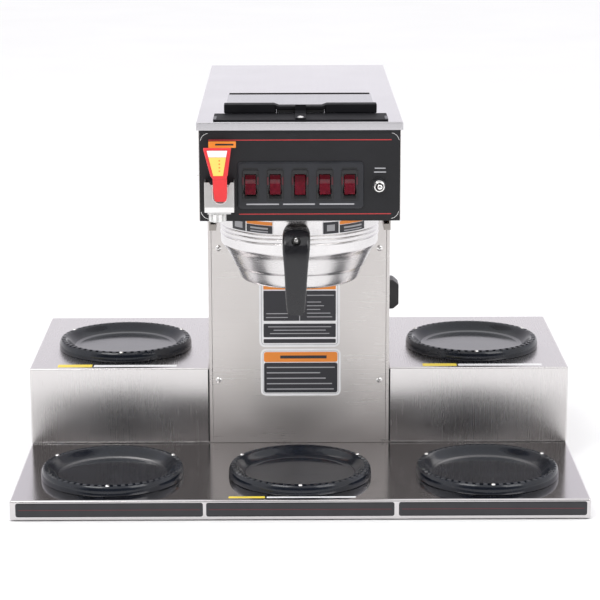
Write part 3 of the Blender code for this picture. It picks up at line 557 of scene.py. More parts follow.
# ---------------------------------------------------------------- screws
def screw_mesh(name, radius, height):
    """A pan-head screw with a cross recess, looking to the front (-Y), its seat at the origin."""
    bm = bmesh.new()
    shares = (0.0, 0.18, 0.36, 0.52, 0.60, 0.80, 0.94, 1.0)
    profile = [(radius * s, -height * (1.0 - s ** 3 * 0.85)) for s in shares] + [(radius, 0.0)]
    recess_depth = height * 0.55

    def recess(angle, r, h):
        in_cross = abs(sin(2 * angle)) < 0.5 and r < radius * 0.56
        return r, h + (recess_depth if in_cross else 0.0)
    rings = add_lathe(bm, profile, (0.0, 0.0, 0.0), 24, "Y", shape=recess)
    rings[0][0].co.y += recess_depth
    return shared_mesh(name, bm, 30, "screw_steel")


TURNS = {"front": Matrix.Identity(3), "back": Matrix.Rotation(pi, 3, "Z"),
         "top": Matrix.Rotation(-pi / 2, 3, "X"), "right": Matrix.Rotation(pi / 2, 3, "Z")}


def screw(name, mesh, spot, facing, body="shell", twist=0.0):
    obj = bpy.data.objects.new(name, mesh)
    turn = TURNS[facing] @ Matrix.Rotation(radians(twist), 3, "Y")
    obj.matrix_world = Matrix.Translation(DATUM + Vector(spot) * MM) @ turn.to_4x4()
    bpy.context.scene.collection.objects.link(obj)
    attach(obj, body)


# ---------------------------------------------------------------- base
DECK_BEND, STEP_BEND, SHEET = 2.2, 1.6, 1.0
STEPS = {"left_step_box": -1, "right_step_box": 1}
SPOTS = ("center", "front_left", "front_right", "rear_left", "rear_right")
WARMER_OPENING = 50.0


def make_decks():
    """The base deck with its three warmer openings and the two step boxes, folded from sheet."""
    for node in ("base_deck", *STEPS):
        low, high = span(node)
        bend, material = (STEP_BEND, "step_steel") if node in STEPS else (DECK_BEND, "deck_steel")
        bm = solid(folded_cover, (low.x, high.x), (low.y, high.y), (low.z, high.z), bend, SHEET)
        sheet = store(node + "_sheet", bm, material, stands_for=(node,))
        spots = [spot for spot in SPOTS if abs(span("warmer_ring_" + spot)[0].z - high.z) < 2.0]

        def openings(tool):
            for spot in spots:
                centre = middle("warmer_ring_" + spot)
                if low.x < centre.x < high.x:
                    add_rod(tool, WARMER_OPENING, (high.z - 8.0, high.z + 8.0), (centre.x, centre.y, 0.0), 96)
        carve(sheet, openings)


def make_step_joints():
    """A light hem along each step's front, and a black bar of painted shadow in the gap beside the trunk."""
    for node, side in STEPS.items():
        low, high = span(node)
        hem = solid(add_box, (low.x + 0.8, high.x - 0.8), (low.y - 0.3, low.y + 0.2),
                    (low.z + 0.05, low.z + 1.2), soft=(0.2, 2))
        store(node + "_hem", hem, "polished_steel")
        inner = low.x if side > 0 else high.x
        # painted shadow: a black bar standing in the narrow gap beside the trunk
        gap = solid(add_box, sorted_pair(inner - side * 0.3, inner + side * 1.3), (low.y - 0.12, low.y + 0.2),
                    (low.z + 1.4, high.z - 1.5))
        store(node + "_shadow_gap", gap, "shadow_black")


STRIP_Z = (3.0, 17.8)
STRIP_X = {"left": (-292.5, -100.1), "centre": (-96.8, 96.5), "right": (101.1, 294.5)}
STRIP_THICKNESS = 0.25


def make_deck_strips():
    """Three dark rounded strips along the deck's front, each with a thin red line."""
    face = span("base_deck")[0].y
    front = face - STRIP_THICKNESS
    height = sum(STRIP_Z) / 2
    for name, x in STRIP_X.items():
        wall_plate(name + "_strip", x, STRIP_Z, face, STRIP_THICKNESS, "strip_black", 2.2)
        line = (x[0] + 3.0, x[1] - 3.0)
        edge = (x[0] + 2.5, x[1] - 2.5)
        wall_bars(name + "_strip_line", [(line, (height - 0.3, height + 0.3))], front, 0.05, "strip_red")
        wall_bars(name + "_strip_edge", [(edge, (STRIP_Z[1] - 1.1, STRIP_Z[1] - 0.8)),
                                         (edge, (STRIP_Z[0] + 0.8, STRIP_Z[0] + 1.1))],
                  front, 0.05, "shadow_black")


NOTCHES = 56
NOTCH_DEPTH = 1.9
NOTCH_RADII = (68.8, 73.3)
NOTCH_SHARE = (0.30, 0.70)
RING_STEPS = NOTCHES * 8
SCREW_RING = 72.0
PLATE_EDGE = 58.0
PLATE_HOLE = 49.5


def make_warmers():
    """Each warmer: a ring with a notched crown, a dished plate and three screws in the crown."""
    low, high = span("warmer_ring_center")
    outer = half_width("warmer_ring_center")
    top = high.z - low.z
    plate_top = span("warmer_plate_center")[1].z - low.z

    def crown(angle, r, h):
        share = angle * NOTCHES / (2 * pi) % 1.0
        on_crown = NOTCH_RADII[0] < r < NOTCH_RADII[1] and h > top * 0.8
        sunk = on_crown and NOTCH_SHARE[0] < share < NOTCH_SHARE[1]
        return r, h - (NOTCH_DEPTH if sunk else 0.0)
    bore = PLATE_EDGE + 0.2
    profile = [(bore, 0.0), (outer - 0.2, 0.0), (outer, 0.6), (outer, 3.5), (outer - 0.3, 6.2), (outer - 0.8, 8.0),
               (outer - 1.5, 9.3), (73.6, 10.1), (73.2, 10.4), (71.9, 10.85), (70.5, top), (70.1, top),
               (69.4, 10.9), (68.9, 10.72), (68.6, 10.6), (67.6, 10.1), (66.6, 9.3), (65.2, 7.9), (63.4, 6.1),
               (61.6, 4.5), (60.0, 3.4), (58.9, 2.8), (bore, 2.5)]
    plate = [(0.0, plate_top - 0.3), (20.0, plate_top - 0.3), (44.0, plate_top - 0.3), (53.0, plate_top - 0.2),
             (56.2, plate_top), (57.5, 2.3), (PLATE_EDGE, 2.4), (PLATE_EDGE, 0.1), (PLATE_HOLE, 0.1),
             (PLATE_HOLE, -1.6), (0.0, -1.6)]
    origin = (0.0, 0.0, 0.0)
    ring = solid(add_lathe, profile, origin, RING_STEPS, closed=True, shape=crown)
    dish = solid(add_lathe, plate, origin, 120)
    shapes = {"warmer_ring": shared_mesh("warmer_ring", ring, 42, "warmer_enamel"),
              "warmer_plate": shared_mesh("warmer_plate", dish, 42, "warmer_floor")}
    head = screw_mesh("warmer_screw", 2.3, 1.5)
    for spot in SPOTS:
        place = middle("warmer_ring_" + spot)
        floor = span("warmer_ring_" + spot)[0].z
        for name, mesh in shapes.items():
            obj = bpy.data.objects.new(name + "_" + spot + "_enamel", mesh)
            obj.location = DATUM + Vector((place.x, place.y, floor)) * MM
            bpy.context.scene.collection.objects.link(obj)
            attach(obj, "shell")
            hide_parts(name + "_" + spot)
        for number, angle in enumerate((30, 150, 270), start=1):
            x, y = arc(place, SCREW_RING, angle, angle, 1)[0]
            screw("warmer_%s_screw_%d" % (spot, number), head, (x, y, floor + top - 0.4), "top", twist=angle)
        dress("warmer_element_" + spot, "heater_sheath")


MARK_THICKNESS = 0.12
STEP_MARKS = {"left_step_box": ((-268.0, -230.0), (-228.0, -136.0)),
              "right_step_box": ((137.4, 175.2), (177.0, 270.0))}


def deck_bar(name, x, y, height, material):
    """A plain bar lying on a level face."""
    bar = solid(add_prism, rounded(*around(x, y), 0.5, 2), "Z", (height, height + MARK_THICKNESS))
    store(name, bar, material)


def make_base_marks():
    """A yellow block and a pale bar near the front edge of the deck and of each step's top."""
    deck = span("base_deck")[1].z
    deck_bar("centre_mark_block", (-74.0, -36.5), (6.6, 12.0), deck, "mark_yellow")
    deck_bar("centre_mark_bar", (-34.6, 57.0), (7.0, 11.0), deck, "label_white")
    for node, (block, bar) in STEP_MARKS.items():
        low, high = span(node)
        name = node.replace("_box", "")
        deck_bar(name + "_mark_block", block, (low.y + 6.0, low.y + 17.0), high.z, "mark_yellow")
        deck_bar(name + "_mark_bar", bar, (low.y + 7.0, low.y + 15.0), high.z, "label_white")


def make_feet():
    for node in ("foot_front_left", "foot_front_right", "foot_rear_left", "foot_rear_right"):
        low, high = span(node)
        radius = half_width(node)
        drop = high.z - low.z
        profile = [(0.0, 0.5), (radius * 0.55, 0.5), (radius * 0.62, 0.0), (radius - 1.0, 0.0), (radius, 0.8),
                   (radius, drop * 0.45), (radius - 0.5, drop * 0.55), (radius, drop * 0.65), (radius, drop),
                   (0.0, drop)]
        centre = middle(node)
        store(node + "_pad", solid(add_lathe, profile, (centre.x, centre.y, low.z), 40), "rubber",
              stands_for=(node,))


# ---------------------------------------------------------------- trunk and head
SIDE_PIN = (60.0, 347.8)
# x, z and turn of each screw
COVER_SCREWS = ((-88.0, 242.1, 12), (88.4, 241.6, 40), (-89.0, 92.8, 65), (88.7, 92.1, 20))
REAR_SCREW_HEIGHTS = (40.0, 160.0, 280.0, 394.0)
UPPER_LABEL = ((-43.9, 45.1), (130.5, 206.0))
LOWER_LABEL = ((-42.5, 46.0), (74.7, 128.4))
STICKER = 0.1
PRINT = 0.05


def make_trunk():
    dress("base_plate", "hidden_steel")
    dress("side_panel_left side_panel_right rear_panel trunk_front_cover", "trunk_steel", 0.4)
    dress("hood_floor", "trunk_steel", 0.3)
    dress("water_tank tank_lid", "hidden_steel", 0.4)
    dress("tank_heater", "heater_sheath")
    face = span("trunk_front_cover")[0].y
    side = span("side_panel_left")[0].x
    pin = [(0.0, side - 4.6), (0.4, side - 4.5), (0.5, side - 4.2), (0.5, side + 1.0), (0.0, side + 1.0)]
    store("side_pin", solid(add_lathe, pin, (0.0, *SIDE_PIN), 16, "X"), "screw_steel")
    head = screw_mesh("cover_screw", 3.4, 1.6)
    for number, (x, z, twist) in enumerate(COVER_SCREWS, start=1):
        screw("cover_screw_%d" % number, head, (x, face, z), "front", twist=twist)
    rear = span("rear_panel")
    places = [(x, z) for x in (rear[0].x + 8.0, rear[1].x - 8.0) for z in REAR_SCREW_HEIGHTS]
    for number, (x, z) in enumerate(places, start=1):
        screw("rear_screw_%d" % number, head, (x, rear[1].y, z), "back", twist=17 * number)


def text_rows(x, rows, thickness):
    """Bars in place of lines of text: each row has a height and what it leaves free at its left and right."""
    return [((x[0] + left, x[1] - right), (height, height + thickness)) for height, left, right in rows]


def make_trunk_labels():
    """Two generic plates: a light border with a thin dark line, plain bands and plain bars."""
    face = span("trunk_front_cover")[0].y
    front = face - 3 * STICKER

    def plate(name, x, z, back, material, radius):
        wall_plate(name, x, z, back, STICKER, material, radius)
    for name, (x, z) in (("upper_label", UPPER_LABEL), ("lower_label", LOWER_LABEL)):
        plate(name + "_border", x, z, face, "label_white", 6.0)
        for layer, inset, material in ((1, 2.3, "label_grey"), (2, 2.8, "label_white")):
            low, high = around(x, z, inset)
            plate(name + ("_outline" if layer == 1 else "_rim"), (low[0], high[0]), (low[1], high[1]),
                  face - layer * STICKER, material, 6.0 - inset)
    x = (UPPER_LABEL[0][0] + 4.8, UPPER_LABEL[0][1] - 4.6)
    centre = sum(x) / 2
    plate("upper_label_band", x, (195.6, 202.4), front, "label_orange", 1.0)
    fields = {"field": (160.2, 194.3), "second_field": (141.6, 157.0), "foot_field": (135.0, 139.6)}
    for name, z in fields.items():
        plate("upper_label_" + name, x, z, front, "label_dark", 1.0)
    rows = text_rows(x, ((153.0, 5.0, 5.0), (149.2, 11.0, 11.0), (145.4, 7.0, 7.0)), 0.9)
    rows += [((centre - 0.5, centre + 0.5), (160.2, 166.0))]
    rows += text_rows((x[0] + 3.0, centre - 6.0), ((168.0, 0.0, 0.0), (163.6, 0.0, 7.0)), 0.9)
    rows += text_rows((centre + 8.0, x[1] - 2.0),
                      ((188.6, 0.0, 0.0), (181.0, 0.0, 14.0), (176.8, 0.0, 11.0), (172.6, 0.0, 15.0),
                       (168.4, 0.0, 4.0), (164.2, 0.0, 2.0)), 0.9)
    wall_bars("upper_label_bars", rows, front - STICKER, PRINT, "label_grey")
    x = (LOWER_LABEL[0][0] + 3.6, LOWER_LABEL[0][1] - 3.6)
    plate("lower_label_band", x, (113.4, 124.8), front, "label_orange", 2.4)
    plate("lower_label_field", x, (78.3, 112.6), front, "label_dark", 2.4)
    rows = text_rows(x, ((106.6, 3.0, 3.0), (100.4, 3.0, 19.0), (94.2, 3.0, 13.0), (88.0, 3.0, 6.0),
                         (81.8, 3.0, 4.0)), 1.2)
    wall_bars("lower_label_bars", rows, front - STICKER, PRINT, "label_grey")
    wall_bars("lower_label_band_bar", [((x[0] + 18.0, x[1] - 12.0), (117.4, 120.8))], front - STICKER, PRINT,
              "label_dark")


SIDE_SCREW_Y = 300.0
SIDE_SCREW_HEIGHTS = (191.5, 147.2)


def make_side_connector():
    """Moulded cover on the trunk's right side, with sloped ends, two grooves and two screws."""
    low, high = span("side_connector")
    outline = [(low.x, low.z), (low.x, high.z), (low.x + 8.0, high.z - 0.7), (high.x, high.z - 6.1),
               (high.x, low.z + 5.8), (low.x + 8.0, low.z + 0.6)]
    block = store("side_connector_cover", solid(add_prism, outline, "Y", (low.y, high.y), soft=(1.1, 3)),
                  "black_plastic", stands_for=("side_connector",))

    def thin_grooves(tool):
        for z in (low.z + 11.0, high.z - 11.0):
            add_box(tool, (high.x - 0.8, high.x + 1.0), (low.y - 1.0, high.y + 1.0), (z - 0.5, z + 0.5))
    carve(block, thin_grooves)
    head = screw_mesh("connector_screw", 1.6, 0.7)
    y = (low.y + high.y) / 2
    for number, z in enumerate((low.z + 8.0, high.z - 8.0), start=1):
        screw("connector_screw_%d" % number, head, (high.x, y, z), "right", twist=30 * number)
    side = span("side_panel_right")[1].x
    for number, z in enumerate(SIDE_SCREW_HEIGHTS, start=1):
        screw("side_screw_%d" % number, head, (side, SIDE_SCREW_Y, z), "right", twist=25 * number)


# ---------------------------------------------------------------- lid
LID_SLOT = ((-74.0, 76.0), (0.0, 199.5))
LID_BEND = 1.1
CLIP_WIDTH, CLIP_LENGTH, CLIP_HEIGHT = 3.2, 20.0, 0.8
PULL_HALF, DIP_HALF = 24.2, 21.4
LATCH_WALL = 1.4


def make_lid():
    low, high = span("top_cover")
    sheet = solid(folded_cover, (low.x, high.x), (low.y, high.y), (low.z, high.z), LID_BEND, SHEET, LID_SLOT)
    store("top_cover_sheet", sheet, "lid_steel", stands_for=("top_cover",))
    dress("pour_in_tray", "tray_black", 0.5)
    dress("pour_in_flap", "flap_steel", 0.3)
    low, high = span("pour_in_tray")
    bm = bmesh.new()
    for x in ((low.x, low.x + CLIP_WIDTH), (high.x - CLIP_WIDTH, high.x)):
        add_box(bm, x, (low.y, low.y + CLIP_LENGTH), (high.z, high.z + CLIP_HEIGHT))
    bevel(bm, 0.3, 2)
    store("shelf_end_clips", bm, "clip_grey")
    make_flap_lip()
    make_latch()


def make_flap_lip():
    """Raised black lip along the flap's front: two tall end blocks, a lower middle with a finger pull filled with
    painted shadow.
    """
    low, high = span("flap_lip")
    centre = (low.x + high.x) / 2
    under = low.z + 3.6
    outline = [(low.x, low.z), (centre - PULL_HALF, low.z), (centre - PULL_HALF, under),
               (centre - DIP_HALF + 3.0, under), (centre + DIP_HALF - 3.0, under), (centre + PULL_HALF, under),
               (centre + PULL_HALF, low.z), (high.x, low.z), (high.x, high.z),
               (centre + PULL_HALF + 2.4, high.z), (centre + DIP_HALF, high.z - 1.9),
               (centre - DIP_HALF, high.z - 1.9),
               (centre - PULL_HALF - 2.4, high.z), (low.x, high.z)]
    lip = store("flap_lip_moulding", solid(add_prism, outline, "Y", (low.y, high.y), soft=(0.7, 3, 25.0)),
                "tray_black", "pour_in_flap", ("flap_lip",))

    def grooves(tool):
        for side in (-1, 1):
            x = centre + side * (PULL_HALF + 0.8)
            add_box(tool, (x - 0.5, x + 0.5), (low.y - 1.0, low.y + 1.2), (low.z + 1.5, high.z + 1.0))
    carve(lip, grooves)
    # painted shadow: a black block set 1 mm behind the lip's front fills the finger pull's opening
    pull_shadow = solid(add_box, (centre - PULL_HALF + 0.3, centre + PULL_HALF - 0.3), (low.y + 0.9, low.y + 11.0),
                (low.z + 0.1, low.z + 3.5), soft=(0.3, 1))
    store("flap_lip_pull_shadow", pull_shadow, "shadow_black", "pour_in_flap")


def make_latch():
    """Strap clip over the middle of the lip, held to the shelf by a screw."""
    low, high = span("flap_latch")
    shelf = low.z + LATCH_WALL
    outline = [(low.y, low.z), (high.y, low.z), (high.y, high.z), (high.y - 1.6, high.z),
               (high.y - 1.6, shelf + 1.4), (high.y - 3.0, shelf), (low.y, shelf)]
    strap = solid(add_prism, outline, "X", (low.x, high.x), soft=(0.5, 3, 20.0))
    store("flap_latch_strap", strap, "tray_black", stands_for=("flap_latch",))
    head = screw_mesh("latch_screw", 3.2, 1.5)
    screw("latch_screw", head, ((low.x + high.x) / 2, low.y + 3.6, shelf), "top", twist=20)


# ---------------------------------------------------------------- control panel
ROCKER_HEIGHT = 351.4
ROCKER_NODES = tuple("rocker_%d" % n for n in range(1, 6))
PANEL_PAD = 0.5
PAD_RADIUS = 8.5
TRIM = 0.28
FAUCET_X = -77.7
FAUCET_HOLE_Z = 336.0
PANEL_LINES = (((-89.5, 90.0), (395.0, 395.9)), ((-60.0, 90.0), (321.2, 322.1)))
START_LEGEND = (((73.6, 84.4), (366.6, 367.7)), ((72.9, 84.9), (362.8, 363.9)))
SWITCH_LEGEND = [(x, (331.3, 332.6)) for x in ((-52.7, -20.5), (-16.6, 14.8), (19.3, 53.6))]


def make_panel():
    """Black panel with a raised rounded pad, light corner arcs, two red lines and plain marks."""
    dress("control_panel", "black_panel")
    low, high = span("control_panel")
    face = low.y
    front = face - PANEL_PAD
    x_low, x_high = low.x + 1.2, high.x - 1.2
    z_low, z_high = low.z + 2.2, high.z - 2.4
    outline = rounded((x_low, z_low), (x_high, z_high), PAD_RADIUS, 8)
    pad = store("control_panel_pad", solid(add_prism, outline, "Y", (front, face)), "black_panel")
    bezel = span("switch_bezel")
    toggle = middle("start_switch_body")

    def holes(tool):
        add_box(tool, (bezel[0].x + 1.0, bezel[1].x - 1.0), (face - 3.0, face + 3.0),
                (bezel[0].z + 1.0, bezel[1].z - 1.0))
        add_rod(tool, 6.4, (-4.0, 4.0), (toggle.x, face, toggle.z), 40, "Y")
        add_rod(tool, 7.0, (-4.0, 4.0), (FAUCET_X, face, FAUCET_HOLE_Z), 32, "Y")
    carve(pad, holes)

    bm = bmesh.new()
    for x, z, start in ((x_high, z_high, 0), (x_low, z_high, 90), (x_low, z_low, 180), (x_high, z_low, 270)):
        centre = (x - PAD_RADIUS if x > 0 else x + PAD_RADIUS,
                  z - PAD_RADIUS if start < 180 else z + PAD_RADIUS)
        outer = arc(centre, PAD_RADIUS + 0.1, start + 8, start + 82, 12)
        inner = arc(centre, PAD_RADIUS - TRIM, start + 82, start + 8, 12)
        add_prism(bm, outer + inner, "Y", (front - 0.1, face - 0.05))
    store("panel_corner_trim", bm, "polished_steel")
    wall_bars("panel_red_lines", PANEL_LINES, front, 0.06, "line_red")
    wall_plate("panel_orange_label", (-89.6, -62.6), (387.8, 394.2), front, 0.08, "label_orange", 0.6)
    wall_bars("panel_orange_label_bar", [((-83.0, -65.0), (390.2, 391.9))], front - 0.08, 0.04, "label_dark")
    wall_bars("start_legend", START_LEGEND, front, 0.06, "label_grey")


FRAME_HALF_X, FRAME_HALF_Z = 7.7, 15.0
MOUTH_HALF_X, MOUTH_HALF_Z = 5.9, 10.7
# x from the switch's middle, z, and how far each painted shadow line stands out
SHADOW_GAPS = (((-7.4, 7.4), (366.7, 368.3), 0.08), ((-8.6, -8.0), (336.6, 366.2), 0.06),
               ((8.0, 8.6), (336.6, 366.2), 0.06), ((-8.6, 8.6), (334.8, 335.6), 0.06))


def rocker_outline(x, half_x, half_z, radius, steps):
    """Rounded outline about a rocker's middle."""
    return rounded((x - half_x, ROCKER_HEIGHT - half_z), (x + half_x, ROCKER_HEIGHT + half_z), radius, steps)


def make_bezel():
    """Raised block with a frame, a painted shadow line round the frame and a pair of red side windows for each
    switch.
    """
    low, high = span("switch_bezel")
    front = low.y + 0.8
    panel = span("control_panel")[0].y
    outline = rounded((low.x, low.z), (high.x, high.z), 4.5, 6)
    inner = rounded((low.x + 2.0, low.z + 2.0), (high.x - 2.0, high.z - 2.0), 3.5, 6)
    shoulder = [(a * 0.7 + c * 0.3, b * 0.7 + d * 0.3) for (a, b), (c, d) in zip(outline, inner)]
    rings = [[(a, y, b) for a, b in loop] for y, loop in ((panel - 0.1, outline), (front + 1.2, outline),
                                                          (front + 0.35, shoulder), (front, inner))]
    bezel = store("switch_bezel_block", solid(add_loft, rings), "bezel_black", stands_for=("switch_bezel",))
    centres = [middle(node).x for node in ROCKER_NODES]

    def backing(tool):
        for x in centres:
            for half_x, half_z, depth in ((8.5, 15.8, front + 0.7), (6.2, 10.9, 6.0)):
                add_box(tool, (x - half_x, x + half_x), (front - 3.0, depth),
                        (ROCKER_HEIGHT - half_z, ROCKER_HEIGHT + half_z))
    carve(bezel, backing)
    for number, x in enumerate(centres, start=1):
        outer = rocker_outline(x, FRAME_HALF_X, FRAME_HALF_Z, 1.2, 3)
        lip = rocker_outline(x, FRAME_HALF_X - 0.6, FRAME_HALF_Z - 0.6, 1.0, 3)
        mouth = rocker_outline(x, MOUTH_HALF_X, MOUTH_HALF_Z, 0.6, 3)
        rings = [[(a, y, b) for a, b in loop]
                 for y, loop in ((2.0, mouth), (front + 0.3, mouth), (low.y + 0.5, mouth), (low.y, lip),
                                 (low.y + 0.3, outer), (front + 0.7, outer), (2.0, outer))]
        store("switch_frame_%d" % number, solid(add_loft, rings + [rings[0]], cap=False), "frame_black")
        bm = bmesh.new()
        for side in (-1, 1):
            add_box(bm, sorted_pair(x + side * 6.5, x + side * 8.1), (low.y - 0.35, low.y + 0.6),
                    (ROCKER_HEIGHT + 0.1, ROCKER_HEIGHT + 7.8))
        bevel(bm, 0.2, 2)
        store("switch_window_%d" % number, bm, "ear_red")
    wall_bars("switch_legend", SWITCH_LEGEND, front, 0.06, "label_grey")
    # black bars of painted shadow round each switch frame: above it, at its sides and below it
    bm = bmesh.new()
    for x in centres:
        for (left, right), z, out in SHADOW_GAPS:
            add_box(bm, (x + left, x + right), (front - out, front + 0.3), z)
    store("switch_shadow_gaps", bm, "shadow_black")


ROCKER_PIVOT_Y = -15.6
ROCKER_REACH = 10.1
ROCKER_HALF = 5.2
ROCKER_TILT = 8.0
TIPPED_OUT = "rocker_3"
ROCKER_FACE = [(-3.4, -7.4), (-3.0, -5.0), (-2.65, -2.6), (-2.35, -0.9), (-2.2, 0.0), (-2.15, 0.7), (-2.35, 2.2),
               (-2.62, 3.8), (-2.83, 5.0), (-2.82, 5.5), (-2.55, 7.7)]


def make_rockers():
    """Rocker lenses: two concave halves that meet in a ridge at the pivot."""
    outline = arc((0.0, 0.0), ROCKER_REACH, 103.0, 78.0, 5) + [(5.0, 3.0), (5.0, -3.0)]
    outline += arc((0.0, 0.0), ROCKER_REACH, -78.0, -112.0, 8) + ROCKER_FACE
    for node in ROCKER_NODES:
        x = middle(node).x
        out = node == TIPPED_OUT
        tilt = radians(ROCKER_TILT if out else -ROCKER_TILT)
        turned = [(ROCKER_PIVOT_Y + y * cos(tilt) - z * sin(tilt),
                   ROCKER_HEIGHT + y * sin(tilt) + z * cos(tilt)) for y, z in outline]
        lens = solid(add_prism, turned, "X", (x - ROCKER_HALF, x + ROCKER_HALF), soft=(0.35, 2, 60.0))
        store(node + "_lens", lens, "rocker_lens_out" if out else "rocker_lens", node, (node,),
              smooth=28.0)


START_TILT = 5.0
START_PIVOT_Y = -19.5
THREAD_PITCH = 0.9
LEVER = [(0.0, 2.2), (1.0, 2.0), (1.7, 1.3), (2.1, 0.3), (1.9, -0.8), (1.55, -1.8), (1.5, -3.5), (1.65, -6.0),
         (2.0, -9.0), (2.5, -11.5), (2.75, -13.0), (2.6, -14.1), (2.0, -14.75), (1.1, -15.0), (0.0, -15.0)]


def make_start_switch():
    """Threaded bush with a flat nut and washer, and a bat-shaped lever."""
    centre = middle("start_switch_body")
    x, z = centre.x, centre.z
    face = span("control_panel")[0].y - PANEL_PAD
    front = span("start_switch_body")[0].y
    profile = [(3.0, -15.5), (3.0, front + 5.0), (4.0, front + 0.2), (4.5, front), (5.1, front + 0.3)]
    y = front + 0.9
    while y < face - 3.6:
        profile += [(5.4, y), (5.05, y + THREAD_PITCH / 2)]
        y += THREAD_PITCH
    profile += [(5.3, face - 2.0), (5.3, 6.0), (3.0, 6.0)]
    store("start_switch_bush", solid(add_lathe, profile, (x, 0.0, z), 48, "Y", closed=True), "polished_steel",
          stands_for=("start_switch_body",))
    nut = solid(add_prism, hexagon((x, z), 7.6, 10.0), "Y", (face - 2.4, face - 0.6), soft=(0.35, 2, 50.0))
    store("start_switch_nut", nut, "bezel_black")
    washer = [(5.5, -0.6), (8.3, -0.6), (8.4, -0.3), (8.4, 0.0), (5.5, 0.0)]
    store("start_switch_washer", solid(add_lathe, washer, (x, face, z), 48, "Y", closed=True), "shadow_black")
    pivot = Vector((x, START_PIVOT_Y, z))
    bm = solid(add_lathe, LEVER, pivot, 36, "Y")
    bmesh.ops.rotate(bm, verts=bm.verts, cent=pivot, matrix=Matrix.Rotation(radians(-START_TILT), 3, "X"))
    store("start_toggle_lever", bm, "polished_steel", "start_toggle", ("start_toggle",))


# ---------------------------------------------------------------- faucet
SHIELD_WALL, SHIELD_BEND = 1.1, 1.6
SLOT_X, SLOT_Z, SLOT_HALF = -78.0, 343.0, 7.8
SLOT_SHOULDER, SLOT_TOP = 352.5, 360.0
SLOT_LINING = 0.8


def make_faucet():
    """Folded shield with a rounded slot and its white lining, and the faucet's own parts."""
    low, high = span("faucet_shield")
    outline = [(low.x, high.y), (low.x, low.y + SHIELD_BEND)]
    outline += arc((low.x + SHIELD_BEND, low.y + SHIELD_BEND), SHIELD_BEND, 180, 270, 4)[1:]
    outline += arc((high.x - SHIELD_BEND, low.y + SHIELD_BEND), SHIELD_BEND, 270, 360, 4) + [(high.x, high.y)]
    outline += [(high.x - SHIELD_WALL, high.y), (high.x - SHIELD_WALL, low.y + SHIELD_BEND),
                (high.x - SHIELD_BEND, low.y + SHIELD_WALL), (low.x + SHIELD_BEND, low.y + SHIELD_WALL),
                (low.x + SHIELD_WALL, low.y + SHIELD_BEND), (low.x + SHIELD_WALL, high.y)]
    plate = store("faucet_shield_plate", solid(add_prism, outline, "Z", (low.z, high.z), soft=(0.2, 1, 50.0)),
                  "shield_steel", stands_for=("faucet_shield",))
    left, right = SLOT_X - SLOT_HALF, SLOT_X + SLOT_HALF
    lower_end = arc((SLOT_X, SLOT_Z), SLOT_HALF, 180.0, 360.0, 20)
    slot = lower_end + [(right, SLOT_SHOULDER), (right + 4.5, SLOT_TOP), (left - 4.5, SLOT_TOP),
                        (left, SLOT_SHOULDER)]
    carve(plate, lambda tool: add_prism(tool, slot, "Y", (low.y - 3.0, low.y + 4.0)))
    lining = [(left, SLOT_SHOULDER)] + lower_end
    lining += [(right, SLOT_SHOULDER), (right - SLOT_LINING, SLOT_SHOULDER)]
    lining += arc((SLOT_X, SLOT_Z), SLOT_HALF - SLOT_LINING, 360.0, 180.0, 20)
    lining += [(left + SLOT_LINING, SLOT_SHOULDER)]
    store("faucet_slot_lining", solid(add_prism, lining, "Y", (low.y + 0.15, low.y + SHIELD_WALL + 0.6)),
          "faucet_white")
    wall_plate("faucet_shield_hem", (low.x + 0.5, high.x - 0.5), (low.z + 0.3, low.z + 5.4), low.y + 0.02, 0.1,
               "polished_steel", 0.5)
    dress("faucet_body", "faucet_white", 0.5)
    dress("faucet_stem", "polished_steel")
    make_faucet_handle()
    make_spout()


PADDLE = [(-93.9, 391.9), (-66.6, 391.9), (-70.2, 365.0), (-72.4, 361.0), (-84.4, 361.0), (-87.0, 365.0)]
PADDLE_WINDOW = [(-90.6, 390.2), (-84.5, 364.8), (-74.4, 364.8), (-70.0, 390.2)]
PADDLE_ARM = [(-85.0, 365.0), (-84.6, 354.0), (-83.6, 343.0), (-82.8, 340.2), (-81.4, 339.2), (-73.2, 339.2),
              (-71.8, 340.2), (-71.1, 343.0), (-70.8, 354.0), (-70.9, 365.0)]
NECK_PIN = [(0.0, -10.8), (1.8, -10.8), (2.05, -10.4), (2.05, 10.4), (1.8, 10.8), (0.0, 10.8)]
NECK_PIVOT = (FAUCET_X, -28.0, 346.0)
# the label's left and right edge: x at its top and at its bottom
LABEL_TOP, LABEL_BOTTOM = 389.6, 365.6
LABEL_LEFT, LABEL_RIGHT = (-90.2, -84.3), (-70.4, -74.6)
LABEL_PARTS = (("faucet_label_white", 389.6, 383.2, "label_white"),
               ("faucet_label_yellow", 383.0, 364.4, "label_yellow"))
LABEL_MARKS = (379.0, 375.6, 372.2, 368.8)


def label_edge(side, height):
    return side[0] + (side[1] - side[0]) * (LABEL_TOP - height) / (LABEL_TOP - LABEL_BOTTOM)


